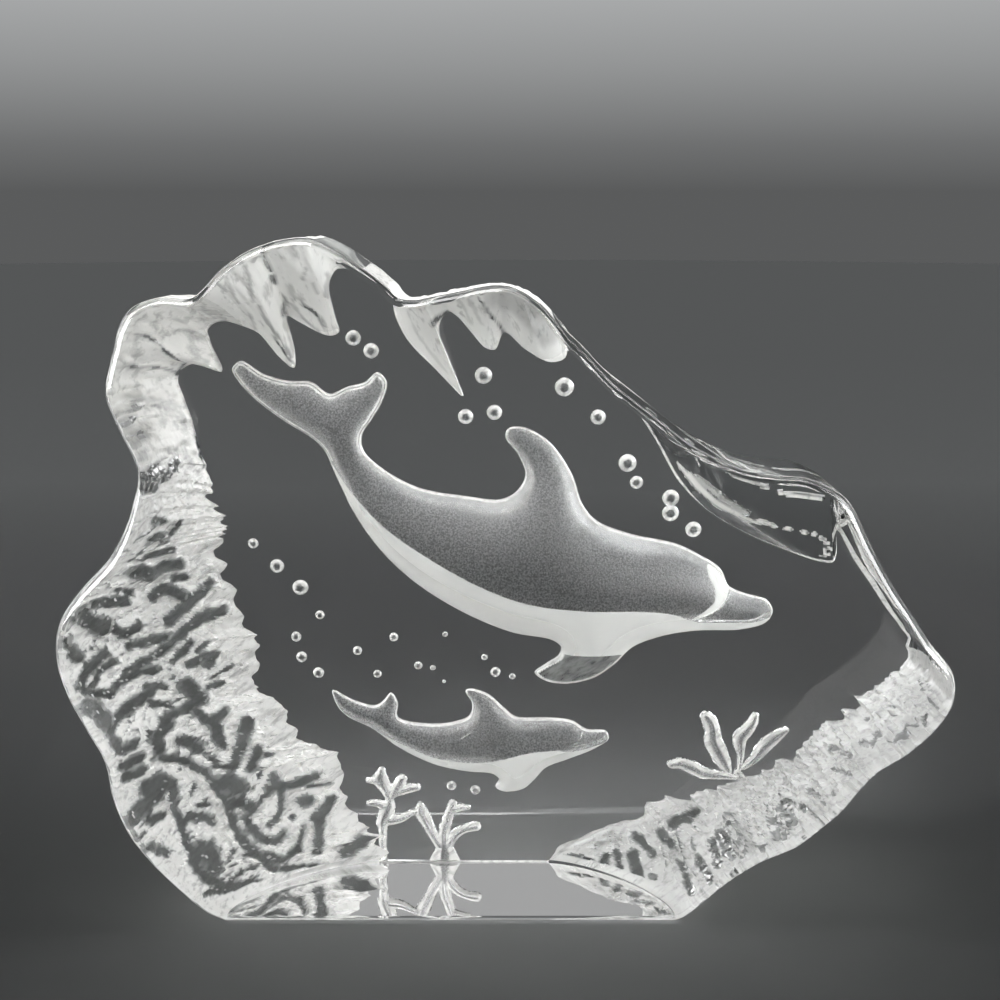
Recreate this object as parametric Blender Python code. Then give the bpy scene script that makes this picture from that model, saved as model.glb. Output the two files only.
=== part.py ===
"""A cast crystal paperweight, hollowed from behind into two dolphins among bubbles, coral and weed.

The block stands on a flat base and its front is flat and polished. A rough rim of coral and rock slopes from the
front outline to the flat back, and every figure is a hollow in that back, seen through the block.
+X is to the viewer's right, +Y runs from the front to the back and +Z is up. The origin is under the middle.

The outlines are drawn in millimetres as on a sheet, and placed() fits the sheet to the block's real size.
"""
import math
from dataclasses import dataclass

import bmesh
import bpy
from mathutils import Vector, noise
from mathutils.geometry import delaunay_2d_cdt

# Driving sizes, in metres
BLOCK_WIDTH = 0.1800
BLOCK_HEIGHT = 0.1395
BLOCK_DEPTH = 0.0470
LIP_RADIUS = 0.0022
LARGE_DOLPHIN_DEPTH = 0.0085
SMALL_DOLPHIN_DEPTH = 0.0050
HOLLOW_WALL = 0.0006
BUBBLE_DEPTH = 0.0012
BRANCH_DEPTH = 0.0016
CORAL_PIT_WIDTH = 0.0072
CORAL_PIT_LENGTH = 0.0130
BASE_MARGIN = 0.0060  # height over which the rim's carving rises from the flat base

# Where a figure's hollow is deepest, as sheet millimetres from its outline, and the part of it that is steep
LARGE_DOLPHIN_CROWN = 12.0
SMALL_DOLPHIN_CROWN = 6.0
STEEP_SHARE = 0.3

# Fineness of the mesh, in metres and counts, and in sheet millimetres for the dolphins
ROUGH_STEP = 0.0024
SMOOTH_STEP = 0.0050
BASE_STEP = 0.0080
LARGE_DOLPHIN_STEP = 3.2
SMALL_DOLPHIN_STEP = 2.2
OUTLINE_STEP_SHARE = 0.7
LIP_ROWS = 2
RIM_ROWS = 12
PROFILE_STEPS = 40
BUBBLE_SIDES = 8
BUBBLE_RINGS = 4
BRANCH_SIDES = 8
SHARP_ANGLE = math.radians(38.0)

# Shares that shape the carving
PIT_STEEPNESS = 2.2
FRONT_FADE = 0.15
BACK_FADE = 0.12
MITRE_LIMIT = 0.7
BRANCH_TIP = 0.4
BUBBLE_SINK = 0.1

MM = 0.001
BACK_Y = BLOCK_DEPTH / 2
OVERSHOOT = 0.002


@dataclass(frozen=True)
class Zone:
    """How a stretch of the rim runs from the front outline to the back."""

    edge: float  # thickness of the block at its outline, as a share of its depth
    fullness: float  # 1 slopes straight to the back, 2 is a quarter round, under 1 is a scoop
    relief: float  # depth of the carving
    step: float  # distance between the rim's lines
    shear: float = 0.0  # how far the pits lean along the rim


CORAL = Zone(edge=0.15, fullness=1.5, relief=0.0036, step=ROUGH_STEP, shear=-0.6)
SHELF = Zone(edge=0.15, fullness=1.5, relief=0.0030, step=ROUGH_STEP)
ROCK = Zone(edge=0.26, fullness=1.5, relief=0.0022, step=ROUGH_STEP)
ICE = Zone(edge=0.28, fullness=1.3, relief=0.0010, step=ROUGH_STEP)
ROUND = Zone(edge=0.62, fullness=2.0, relief=0.0, step=SMOOTH_STEP)
FLUTE = Zone(edge=0.42, fullness=0.75, relief=0.0, step=SMOOTH_STEP)
FLUTE_END = Zone(edge=0.55, fullness=1.0, relief=0.0, step=ROUGH_STEP)
WALL = Zone(edge=0.80, fullness=2.0, relief=0.0, step=SMOOTH_STEP)
BASE = Zone(edge=0.15, fullness=1.5, relief=0.0, step=BASE_STEP)

# The rim, from the base's left end over the top to its right end: a point of the front outline, the point of the
# flat back's edge that it runs to, and the zone
RIM = (
    (-58.0, 0.0, -27.5, 0.0, CORAL),
    (-62.0, 2.0, -27.6, 5.0, CORAL),
    (-68.5, 8.0, -33.5, 9.7, CORAL),
    (-74.0, 14.4, -37.2, 17.2, CORAL),
    (-77.5, 20.0, -38.5, 25.4, CORAL),
    (-79.9, 27.0, -45.5, 29.0, CORAL),
    (-81.2, 35.0, -51.0, 37.2, CORAL),
    (-84.7, 42.2, -56.0, 41.5, CORAL),
    (-88.0, 49.5, -54.7, 50.4, CORAL),
    (-89.6, 57.5, -57.9, 56.0, CORAL),
    (-88.3, 64.5, -60.0, 65.0, CORAL),
    (-84.0, 70.6, -62.2, 73.5, CORAL),
    (-77.2, 78.2, -61.2, 77.9, CORAL),
    (-72.9, 88.0, -63.5, 84.0, CORAL),
    (-71.7, 95.4, -64.9, 93.0, ROCK),
    (-74.7, 103.0, -66.6, 101.0, ROCK),
    (-77.0, 110.4, -69.0, 110.0, ROCK),
    (-76.0, 115.4, -66.0, 112.4, ROCK),
    (-75.1, 118.2, -59.9, 110.9, ROCK),
    (-73.5, 123.0, -62.0, 117.2, ROCK),
    (-71.0, 126.3, -62.3, 119.8, ROCK),
    (-65.5, 128.3, -59.4, 121.4, ROCK),
    (-59.6, 128.2, -55.0, 120.3, ICE),
    (-57.0, 130.2, -51.8, 118.8, ICE),
    (-54.5, 132.9, -47.6, 113.8, ICE),
    (-52.2, 134.7, -44.6, 111.5, ICE),
    (-50.0, 136.2, -44.3, 115.2, ICE),
    (-47.5, 137.5, -45.7, 122.4, ICE),
    (-45.5, 138.2, -43.3, 121.2, ICE),
    (-43.2, 138.9, -37.2, 118.3, ICE),
    (-41.5, 139.2, -35.0, 119.0, ICE),
    (-40.0, 139.4, -35.8, 122.8, ICE),
    (-38.3, 139.5, -36.8, 129.0, ICE),
    (-36.2, 139.2, -34.9, 132.2, ROUND),
    (-32.2, 137.2, -30.6, 131.2, ROUND),
    (-27.2, 133.8, -26.6, 128.6, ROUND),
    (-22.6, 130.3, -23.9, 125.9, ICE),
    (-20.6, 128.4, -23.1, 122.4, ICE),
    (-19.4, 128.0, -20.6, 117.4, ICE),
    (-18.0, 127.9, -14.4, 110.8, ICE),
    (-16.8, 127.9, -9.0, 105.5, ICE),
    (-15.8, 128.1, -12.9, 114.7, ICE),
    (-14.4, 128.4, -13.9, 120.4, ICE),
    (-12.5, 128.8, -12.2, 123.4, ICE),
    (-10.3, 129.2, -10.0, 122.2, ICE),
    (-8.0, 129.7, -7.4, 119.2, ICE),
    (-5.8, 130.2, -4.2, 115.7, ICE),
    (-3.8, 130.5, -2.2, 115.4, ICE),
    (-1.6, 130.7, -0.3, 119.0, ICE),
    (0.8, 130.4, 4.0, 115.5, ICE),
    (3.2, 129.4, 9.4, 112.7, ICE),
    (5.2, 128.1, 12.5, 113.6, ICE),
    (7.0, 126.6, 13.0, 116.0, ICE),
    (9.2, 124.1, 13.0, 118.8, ROUND),
    (12.0, 120.3, 15.0, 115.2, ROUND),
    (15.3, 117.3, 18.5, 111.6, ROUND),
    (20.0, 112.3, 23.0, 107.0, ROUND),
    (25.3, 108.0, 27.6, 102.4, ROUND),
    (30.3, 104.0, 31.0, 97.6, ROUND),
    (35.3, 100.3, 33.4, 93.4, FLUTE),
    (40.0, 97.7, 37.0, 87.2, FLUTE),
    (46.7, 95.0, 43.2, 81.0, FLUTE),
    (53.0, 93.9, 51.5, 76.0, FLUTE),
    (58.5, 93.3, 60.2, 72.2, FLUTE),
    (63.3, 91.3, 67.6, 69.6, FLUTE_END),
    (65.8, 89.7, 70.7, 69.4, FLUTE_END),
    (67.6, 87.6, 71.4, 71.4, FLUTE_END),
    (69.2, 84.6, 71.3, 74.0, FLUTE_END),
    (71.0, 80.9, 71.3, 76.6, WALL),
    (76.7, 71.0, 75.2, 70.0, WALL),
    (80.0, 66.3, 78.6, 65.2, WALL),
    (84.0, 60.3, 82.5, 59.4, WALL),
    (89.4, 53.2, 87.5, 52.4, WALL),
    (89.8, 47.5, 88.0, 46.8, SHELF),
    (87.5, 43.0, 85.8, 43.8, SHELF),
    (84.4, 39.4, 82.4, 40.4, SHELF),
    (80.6, 36.0, 77.6, 37.6, SHELF),
    (75.0, 32.2, 72.9, 33.4, SHELF),
    (71.9, 28.7, 69.6, 29.8, SHELF),
    (68.7, 24.4, 66.2, 25.9, SHELF),
    (64.4, 20.3, 61.0, 22.8, SHELF),
    (59.4, 16.2, 55.0, 19.4, SHELF),
    (52.5, 13.0, 47.0, 16.6, SHELF),
    (48.7, 10.6, 41.0, 15.3, SHELF),
    (45.0, 7.8, 34.4, 14.2, SHELF),
    (40.8, 4.0, 30.0, 10.0, SHELF),
    (38.3, 1.8, 21.5, 7.2, SHELF),
    (36.6, 0.6, 14.2, 3.6, SHELF),
    (35.0, 0.0, 10.2, 0.0, BASE),
)

LARGE_DOLPHIN = (
    (-57.6, 111.3), (-55.7, 113.0), (-51.0, 110.2), (-46.0, 108.8), (-41.0, 108.5), (-37.2, 106.0), (-33.5, 107.5),
    (-29.7, 108.5), (-27.0, 110.6), (-25.1, 108.5), (-26.0, 104.7), (-28.5, 100.4), (-30.6, 97.0), (-30.2, 93.8),
    (-26.0, 89.7), (-18.5, 85.7), (-8.5, 83.9), (-1.0, 83.2), (2.4, 85.0), (4.2, 88.5), (2.7, 92.9), (0.0, 96.6),
    (0.5, 98.5), (3.4, 98.9), (9.0, 96.0), (14.0, 89.1), (16.5, 82.2), (19.6, 78.5), (26.5, 75.7), (36.5, 73.5),
    (41.5, 71.2), (46.5, 67.9), (48.4, 64.1), (52.1, 62.4), (56.7, 61.0), (58.1, 58.5), (56.7, 56.0), (51.5, 54.4),
    (41.5, 54.1), (34.0, 52.9), (27.7, 50.4), (24.0, 46.6), (19.6, 43.5), (14.0, 42.0), (9.0, 42.5), (6.4, 44.4),
    (9.0, 46.6), (11.7, 48.5), (12.1, 50.4), (10.2, 52.0), (1.5, 53.7), (-8.5, 57.9), (-18.5, 64.1), (-26.0, 71.0),
    (-32.2, 79.7), (-36.0, 87.9), (-38.7, 94.1), (-41.0, 96.4), (-47.2, 100.4), (-53.5, 105.4), (-56.6, 109.1),
)

SMALL_DOLPHIN = (
    (-38.0, 40.4), (-36.9, 36.6), (-34.5, 34.2), (-29.7, 31.8), (-23.5, 27.2), (-16.0, 23.4), (-8.5, 21.7),
    (-2.8, 21.1), (-1.4, 19.8), (-2.2, 17.9), (-0.4, 16.9), (4.0, 17.6), (6.6, 19.9), (9.0, 22.6), (14.0, 24.6),
    (19.6, 26.9), (22.9, 29.2), (22.2, 31.0), (17.9, 31.4), (14.6, 33.4), (10.2, 34.0), (2.1, 34.4), (-0.4, 36.4),
    (-4.0, 39.6), (-7.9, 40.7), (-8.8, 40.1), (-7.4, 37.4), (-7.9, 34.6), (-11.0, 33.2), (-16.5, 32.6),
    (-23.7, 34.2), (-23.7, 37.6), (-25.2, 39.8), (-26.8, 38.0), (-28.7, 36.9), (-33.5, 38.2),
)

# Bubbles: across, up and radius
BUBBLES = (
    (-4.7, 109.9, 1.8), (-8.5, 101.1, 1.6), (-2.4, 102.0, 1.6), (12.4, 107.4, 2.0), (19.6, 101.0, 1.6),
    (26.0, 91.1, 1.9), (28.0, 86.9, 1.4), (35.4, 83.5, 1.8), (35.4, 80.2, 1.8), (40.4, 76.6, 1.7),
    (-32.0, 117.8, 1.6), (-28.3, 115.1, 1.6), (-54.4, 73.5, 1.1), (-49.4, 68.5, 1.5), (-44.5, 63.7, 1.7),
    (-40.4, 57.5, 1.0), (-45.7, 52.6, 1.1), (-44.6, 48.0, 1.2), (-41.0, 44.4, 1.2), (-32.4, 49.4, 1.0),
    (-28.1, 44.1, 0.9), (-24.4, 52.5, 1.0), (-2.2, 44.5, 1.1), (-12.0, 18.1, 1.1), (-6.7, 17.1, 1.1),
)

# Branches of the coral sprigs and fronds of the weed: points along each as across, up and width
BRANCHES = (
    ((-29.5, 5.0, 2.4), (-27.2, 10.0, 2.2), (-26.4, 13.5, 2.0)),
    ((-26.4, 12.5, 2.0), (-27.2, 17.5, 2.8), (-27.9, 21.6, 1.6)),
    ((-27.2, 17.2, 1.4), (-30.4, 19.6, 1.4)),
    ((-26.4, 13.2, 1.8), (-30.4, 14.4, 1.4)),
    ((-26.2, 14.2, 1.8), (-24.8, 17.0, 2.2), (-23.2, 19.3, 1.8)),
    ((-25.2, 16.6, 1.8), (-19.9, 17.7, 1.8)),
    ((-26.8, 9.2, 1.8), (-23.2, 10.6, 1.8), (-20.0, 11.8, 1.6)),
    ((-14.2, -2.0, 6.0), (-14.1, 2.4, 3.6), (-14.0, 6.0, 2.6), (-13.9, 10.4, 2.0)),
    ((-14.8, 5.2, 2.2), (-18.2, 9.6, 2.6), (-18.9, 13.0, 1.8)),
    ((-14.0, 7.2, 2.0), (-12.6, 11.0, 2.2), (-11.3, 14.3, 1.8)),
    ((-11.9, 13.0, 1.8), (-8.8, 13.1, 1.2)),
    ((-13.4, 5.2, 1.8), (-10.0, 7.6, 2.0), (-6.9, 8.6, 2.4)),
    ((52.0, 20.4, 2.2), (44.8, 21.2, 2.6), (40.6, 22.8, 2.8), (37.0, 23.4, 2.2)),
    ((51.6, 20.8, 2.6), (47.0, 25.6, 3.2), (45.0, 30.6, 3.4), (44.0, 34.2, 2.2)),
    ((52.4, 21.6, 1.8), (52.2, 28.4, 3.2), (54.6, 34.0, 1.8)),
    ((53.2, 22.2, 2.2), (57.2, 27.6, 3.0), (61.6, 31.3, 1.8)),
    ((51.4, 21.4, 2.4), (57.4, 13.4, 2.6)),
)

GLASS_COLOR = (0.93, 0.95, 0.94, 1.0)
GLASS_IOR = 1.55


def curve_point(before, start, end, after, share):
    """A point of the centripetal Catmull-Rom curve from start to end."""
    k1 = math.sqrt((start - before).length)
    k2 = k1 + math.sqrt((end - start).length)
    k3 = k2 + math.sqrt((after - end).length)
    t = k1 + share * (k2 - k1)
    first = before.lerp(start, t / k1)
    middle = start.lerp(end, (t - k1) / (k2 - k1))
    last = end.lerp(after, (t - k2) / (k3 - k2))
    early = first.lerp(middle, t / k2)
    late = middle.lerp(last, (t - k1) / (k3 - k1))
    return early.lerp(late, (t - k1) / (k2 - k1))


def closed_curve(points, step):
    """Points about a step apart on the smooth closed curve through the drawn points, in sheet millimetres."""
    count = len(points)
    drawn = [Vector(point) for point in points]
    path = []
    for i in range(count):
        corners = [drawn[(i + k) % count] for k in (-1, 0, 1, 2)]
        steps = max(1, round((corners[2] - corners[1]).length / step))
        path += [curve_point(*corners, k / steps) for k in range(steps)]
    return path


def open_curve(points, steps):
    """The smooth curve through the points, with the given number of steps in each stretch."""
    drawn = [2 * points[0] - points[1], *points, 2 * points[-1] - points[-2]]
    path = []
    for i, count in enumerate(steps):
        path += [curve_point(*drawn[i:i + 4], k / count) for k in range(count)]
    return path + [points[-1]]


def soften(values, reach):
    """Each value of a closed ring averaged with its neighbours up to the reach."""
    count = len(values)
    spread = range(-reach, reach + 1)
    return [sum(values[(i + k) % count] for k in spread) / len(spread) for i in range(count)]


def rim_lines():
    """The lines that the rim is built on, as front point, back point, edge, fullness, relief and shear."""
    front = [Vector(row[0:2]) for row in RIM]
    back = [Vector(row[2:4]) for row in RIM]
    steps = []
    for i, row in enumerate(RIM[:-1]):
        reach = max((front[i + 1] - front[i]).length, (back[i + 1] - back[i]).length)
        steps.append(max(1, round(reach * MM / row[4].step)))
    zones = [row[4] for row, count in zip(RIM, steps) for _ in range(count)] + [BASE]
    front_path = open_curve(front, steps)
    back_path = open_curve(back, steps)
    base_steps = round((front[-1] - front[0]).length * MM / BASE.step)
    for k in range(1, base_steps):
        front_path.append(front[-1].lerp(front[0], k / base_steps))
        back_path.append(back[-1].lerp(back[0], k / base_steps))
        zones.append(BASE)
    edges = soften([zone.edge for zone in zones], 3)
    fullness = soften([zone.fullness for zone in zones], 3)
    reliefs = soften([zone.relief for zone in zones], 2)
    shears = [zone.shear for zone in zones]
    return list(zip(front_path, back_path, edges, fullness, reliefs, shears))


LINES = rim_lines()
SHEET_LEFT = min(line[0].x for line in LINES)
SHEET_RIGHT = max(line[0].x for line in LINES)
SHEET_TOP = max(line[0].y for line in LINES)


def placed(point, depth=0.0):
    """The place in the block of a sheet point, at a depth forward of the flat back."""
    across = (point[0] - (SHEET_LEFT + SHEET_RIGHT) / 2) * BLOCK_WIDTH / (SHEET_RIGHT - SHEET_LEFT)
    up = point[1] * BLOCK_HEIGHT / SHEET_TOP
    return Vector((across, BACK_Y - depth, up))


def smoothstep(value):
    """A rise from 0 to 1 with level ends."""
    value = min(max(value, 0.0), 1.0)
    return value * value * (3 - 2 * value)


def pit_share(along, down):
    """How deep the carving is at a place on the rim, from 0 on a ridge to 1 in a pit."""
    distances, _ = noise.voronoi(Vector((along / CORAL_PIT_WIDTH, down / CORAL_PIT_LENGTH, 0.0)))
    return smoothstep((distances[1] - distances[0]) * PIT_STEEPNESS)


def profile(width, edge_depth, fullness):
    """One rim line's run from the lip to the back, as distances inward and backward."""
    run = [Vector((0.0, LIP_RADIUS)), Vector((0.0, edge_depth))]
    for k in range(1, PROFILE_STEPS + 1):
        angle = math.pi / 2 * k / PROFILE_STEPS
        inward = width * (1 - math.cos(angle) ** (2 / fullness)) if k < PROFILE_STEPS else width
        backward = edge_depth + (BLOCK_DEPTH - edge_depth) * math.sin(angle) ** (2 / fullness)
        run.append(Vector((inward, backward)))
    return run


def evenly(run, count):
    """The run's points at even distances, each with its direction and its distance along the run."""
    lengths = [0.0]
    for near, far in zip(run, run[1:]):
        lengths.append(lengths[-1] + (far - near).length)
    picked = []
    k = 0
    for i in range(count + 1):
        target = lengths[-1] * i / count
        while k < len(run) - 2 and lengths[k + 1] < target:
            k += 1
        stretch = run[k + 1] - run[k]
        share = (target - lengths[k]) / max(stretch.length, 1e-9)
        picked.append((run[k] + stretch * min(share, 1.0), stretch.normalized(), target))
    return picked


def lip_insets(front_points):
    """For each point of the front outline, the step inward that rounds the front face's edge."""
    count = len(front_points)
    steps = []
    for i in range(count):
        ahead = (front_points[(i + 1) % count] - front_points[i]).normalized()
        behind = (front_points[i] - front_points[i - 1]).normalized()
        mean = (ahead + behind).normalized()
        stretch = 1 / max(mean.dot(ahead), MITRE_LIMIT)
        steps.append(Vector((mean.z, 0.0, -mean.x)) * LIP_RADIUS * stretch)
    return steps


def rim_rows():
    """The rim's points, line by line, from the front face to the flat back."""
    front_points = [placed(line[0], BLOCK_DEPTH) for line in LINES]
    insets = lip_insets(front_points)
    rows = []
    along = 0.0
    for i, (front, back, edge, fullness, relief, shear) in enumerate(LINES):
        start = front_points[i]
        end = placed(back)
        inward = Vector((end.x - start.x, 0.0, end.z - start.z))
        width = inward.length
        inward.normalize()
        along += (front - LINES[i - 1][0]).length * MM if i else 0.0
        line = []
        for k in range(LIP_ROWS):
            angle = math.pi / 2 * k / LIP_ROWS
            rise = Vector((0.0, LIP_RADIUS * (1 - math.cos(angle)), 0.0))
            line.append(start + insets[i] * (1 - math.sin(angle)) + rise)
        run = evenly(profile(width, BLOCK_DEPTH * edge, fullness), RIM_ROWS)
        for place, direction, down in run:
            share = down / run[-1][2]
            point = start + inward * place.x + Vector((0.0, place.y, 0.0))
            fade = smoothstep(share / FRONT_FADE) * smoothstep((1 - share) / BACK_FADE)
            fade *= smoothstep(point.z / BASE_MARGIN)
            depth = relief * fade * pit_share(along + shear * down, down)
            line.append(point + (inward * direction.y - Vector((0.0, direction.x, 0.0))) * depth)
        rows.append(line)
    return rows


def mesh_object(name, bm, material=None):
    """A new object that holds a mesh with its faces pointing out."""
    bmesh.ops.recalc_face_normals(bm, faces=bm.faces)
    mesh = bpy.data.meshes.new(name)
    bm.to_mesh(mesh)
    bm.free()
    mesh.shade_smooth()
    mesh.set_sharp_from_angle(angle=SHARP_ANGLE)
    if material:
        mesh.materials.append(material)
    obj = bpy.data.objects.new(name, mesh)
    bpy.context.scene.collection.objects.link(obj)
    return obj


def cut(block, name, bm):
    """Hollows the block with a closed cutter, which may overlap itself."""
    cutter = mesh_object(name, bm)
    cutter.hide_render = True
    cutter.display_type = 'WIRE'
    hollow = block.modifiers.new(name, 'BOOLEAN')
    hollow.operation = 'DIFFERENCE'
    hollow.solver = 'EXACT'
    hollow.use_self = True
    hollow.object = cutter


def build_block(material):
    """The block before its figures are cut: flat front, rounded lip, carved rim and flat back."""
    bm = bmesh.new()
    grid = [[bm.verts.new(point) for point in line] for line in rim_rows()]
    for i, line in enumerate(grid):
        after = grid[(i + 1) % len(grid)]
        for k in range(len(line) - 1):
            bm.faces.new((line[k], line[k + 1], after[k + 1], after[k]))
    bm.faces.new([line[0] for line in grid])
    bm.faces.new([line[-1] for line in reversed(grid)])
    bmesh.ops.triangulate(bm, faces=[face for face in bm.faces if len(face.verts) == 4])
    return mesh_object("crystal_block", bm, material)


def distance_to(outline, point):
    """Distance from a point to a closed outline, in sheet millimetres."""
    best = math.inf
    for near, far in zip(outline, outline[1:] + outline[:1]):
        side = far - near
        share = min(max((point - near).dot(side) / side.length_squared, 0.0), 1.0)
        best = min(best, (point - near - side * share).length)
    return best


def inside(outline, point):
    """Whether a point lies inside a closed outline."""
    crossings = 0
    for near, far in zip(outline, outline[1:] + outline[:1]):
        if (near.y > point.y) != (far.y > point.y):
            crossings += point.x < near.x + (far.x - near.x) * (point.y - near.y) / (far.y - near.y)
    return crossings % 2 == 1


def grid_points(outline, spacing):
    """Points of a staggered grid that lie well inside the outline."""
    low = Vector((min(p.x for p in outline), min(p.y for p in outline)))
    high = Vector((max(p.x for p in outline), max(p.y for p in outline)))
    row_height = spacing * math.sqrt(0.75)
    found = []
    for row in range(int((high.y - low.y) / row_height) + 1):
        for column in range(int((high.x - low.x) / spacing) + 2):
            point = low + Vector(((column + 0.5 * (row % 2)) * spacing, row * row_height))
            if inside(outline, point) and distance_to(outline, point) > 0.5 * spacing:
                found.append(point)
    return found


def figure_cutter(drawn, depth, crown, spacing):
    """A swelling figure that hollows the back: an outline whose floor sinks towards its middle.

    The crown is the distance from the outline, in sheet millimetres, at which the hollow is deepest.
    """
    outline = closed_curve(drawn, spacing * OUTLINE_STEP_SHARE)
    middle = grid_points(outline, spacing)
    loop = [(k, (k + 1) % len(outline)) for k in range(len(outline))]
    points, _, faces, _, _, _ = delaunay_2d_cdt(outline + middle, loop, [], 1, 1e-5)
    bm = bmesh.new()
    floor = []
    for k, point in enumerate(points):
        away = 0.0 if k < len(outline) else distance_to(outline, point)
        steep = STEEP_SHARE * math.sqrt(smoothstep(away / (STEEP_SHARE * crown)))
        swell = (1 - STEEP_SHARE) * smoothstep(away / crown)
        floor.append(bm.verts.new(placed(point, HOLLOW_WALL + (depth - HOLLOW_WALL) * (steep + swell))))
    lid = [bm.verts.new(placed(point, -OVERSHOOT)) for point in outline]
    for face in faces:
        bm.faces.new([floor[k] for k in face])
    for near, far in loop:
        bm.faces.new((floor[near], floor[far], lid[far], lid[near]))
    bm.faces.new(lid)
    return bm


def bubbles_cutter():
    """Flattened balls at the back, one for each bubble."""
    bm = bmesh.new()
    for across, up, radius in BUBBLES:
        ball = bmesh.ops.create_uvsphere(
            bm, u_segments=BUBBLE_SIDES, v_segments=BUBBLE_RINGS, radius=radius * MM,
        )["verts"]
        centre = placed((across, up), BUBBLE_SINK * BUBBLE_DEPTH)
        for vert in ball:
            turned = Vector((vert.co.x, vert.co.z * BUBBLE_DEPTH / (radius * MM), vert.co.y))
            vert.co = centre + turned
    return bm


def branches_cutter():
    """Tapered round grooves for the coral sprigs and the weed."""
    bm = bmesh.new()
    for branch in BRANCHES:
        path = [Vector(point[0:2]) for point in branch]
        widths = [point[2] for point in branch]
        first = (path[1] - path[0]).normalized() * widths[0] / 2
        last = (path[-1] - path[-2]).normalized() * widths[-1] / 2
        path = [path[0] - first, *path, path[-1] + last]
        widths = [widths[0] * BRANCH_TIP, *widths, widths[-1] * BRANCH_TIP]
        rings = []
        for k, (point, width) in enumerate(zip(path, widths)):
            run = path[min(k + 1, len(path) - 1)] - path[max(k - 1, 0)]
            side = Vector((-run.y, run.x)).normalized() * width / 2
            rings.append(branch_ring(bm, point, side, min(width / widths[1], 1.0)))
        for near, far in zip(rings, rings[1:]):
            for k in range(BRANCH_SIDES):
                after = (k + 1) % BRANCH_SIDES
                bm.faces.new((near[k], near[after], far[after], far[k]))
        bm.faces.new(rings[0][::-1])
        bm.faces.new(rings[-1])
    return bm


def branch_ring(bm, point, side, share):
    """The vertices of one oval section of a branch, turned so that none lies level with the back."""
    ring = []
    for k in range(BRANCH_SIDES):
        angle = 2 * math.pi * (k + 0.5) / BRANCH_SIDES
        spot = point + side * math.cos(angle)
        ring.append(bm.verts.new(placed(spot, BRANCH_DEPTH * share * math.sin(angle))))
    return ring


def clear_glass():
    """Clear colourless crystal."""
    material = bpy.data.materials.new("crystal")
    material.use_nodes = True
    shader = material.node_tree.nodes["Principled BSDF"]
    shader.inputs["Base Color"].default_value = GLASS_COLOR
    shader.inputs["Roughness"].default_value = 0.02
    shader.inputs["Metallic"].default_value = 0.0
    shader.inputs["IOR"].default_value = GLASS_IOR
    shader.inputs["Transmission Weight"].default_value = 1.0
    return material


def main():
    """Clears the scene and builds the block with its hollows."""
    for obj in list(bpy.data.objects):
        bpy.data.objects.remove(obj)
    block = build_block(clear_glass())
    large = figure_cutter(LARGE_DOLPHIN, LARGE_DOLPHIN_DEPTH, LARGE_DOLPHIN_CROWN, LARGE_DOLPHIN_STEP)
    small = figure_cutter(SMALL_DOLPHIN, SMALL_DOLPHIN_DEPTH, SMALL_DOLPHIN_CROWN, SMALL_DOLPHIN_STEP)
    cut(block, "large_dolphin", large)
    cut(block, "small_dolphin", small)
    cut(block, "bubbles", bubbles_cutter())
    cut(block, "branches", branches_cutter())


main()
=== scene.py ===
"""The finished look of a cast crystal paperweight: dolphins hollowed into its back, inside a rough rim.

The block is one piece of clear crystal. Its front, base and back are polished, its rim is carved into coral,
rock and ice, and the figures are hollows in the back that are seen through the block. The camera looks at the
polished front.

Outlines are drawn in millimetres on a sheet that lies in the block's back, with x to the viewer's right and z
up, and Sheet fits them to the block's box in the frame.
"""
import logging
import math
from dataclasses import dataclass, field
from enum import IntEnum

import bmesh
import bpy
import numpy as np
from mathutils import Matrix, Vector, noise
from mathutils.geometry import delaunay_2d_cdt

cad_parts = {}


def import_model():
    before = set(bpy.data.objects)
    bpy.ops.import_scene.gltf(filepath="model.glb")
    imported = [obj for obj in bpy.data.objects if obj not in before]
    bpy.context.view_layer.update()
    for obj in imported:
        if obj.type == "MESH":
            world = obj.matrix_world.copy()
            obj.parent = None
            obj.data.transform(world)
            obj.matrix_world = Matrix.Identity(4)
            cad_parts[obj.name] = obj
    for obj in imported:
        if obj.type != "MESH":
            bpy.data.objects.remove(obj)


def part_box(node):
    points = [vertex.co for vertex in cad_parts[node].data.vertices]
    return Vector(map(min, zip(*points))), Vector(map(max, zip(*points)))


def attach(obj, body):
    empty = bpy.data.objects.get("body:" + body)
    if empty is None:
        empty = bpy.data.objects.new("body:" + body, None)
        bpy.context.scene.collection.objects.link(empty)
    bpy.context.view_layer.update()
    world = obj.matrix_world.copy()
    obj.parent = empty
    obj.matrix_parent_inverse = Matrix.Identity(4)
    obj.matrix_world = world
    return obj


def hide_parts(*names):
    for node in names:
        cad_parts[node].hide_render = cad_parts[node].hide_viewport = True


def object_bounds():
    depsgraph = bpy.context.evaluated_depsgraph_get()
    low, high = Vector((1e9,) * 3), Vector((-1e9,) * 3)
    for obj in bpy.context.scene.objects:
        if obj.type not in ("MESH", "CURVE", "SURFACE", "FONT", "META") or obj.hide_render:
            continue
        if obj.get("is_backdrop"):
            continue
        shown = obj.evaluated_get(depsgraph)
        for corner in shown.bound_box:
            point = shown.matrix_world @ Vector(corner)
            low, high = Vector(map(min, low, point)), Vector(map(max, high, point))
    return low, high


LOG = logging.getLogger("crystal")
MM = 0.001
TINY = 1e-9
TINY_SQUARE = 1e-12
NODE = "crystal_block"


class Finish(IntEnum):
    """The finishes of the block, in the order of its material slots."""

    CLEAR = 0
    RIM = 1
    SATIN = 2
    MATTE = 3
    GLOSS = 4
    PIT = 5
    ICE = 6
    ROCK = 7
    SMOOTH = 8


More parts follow.
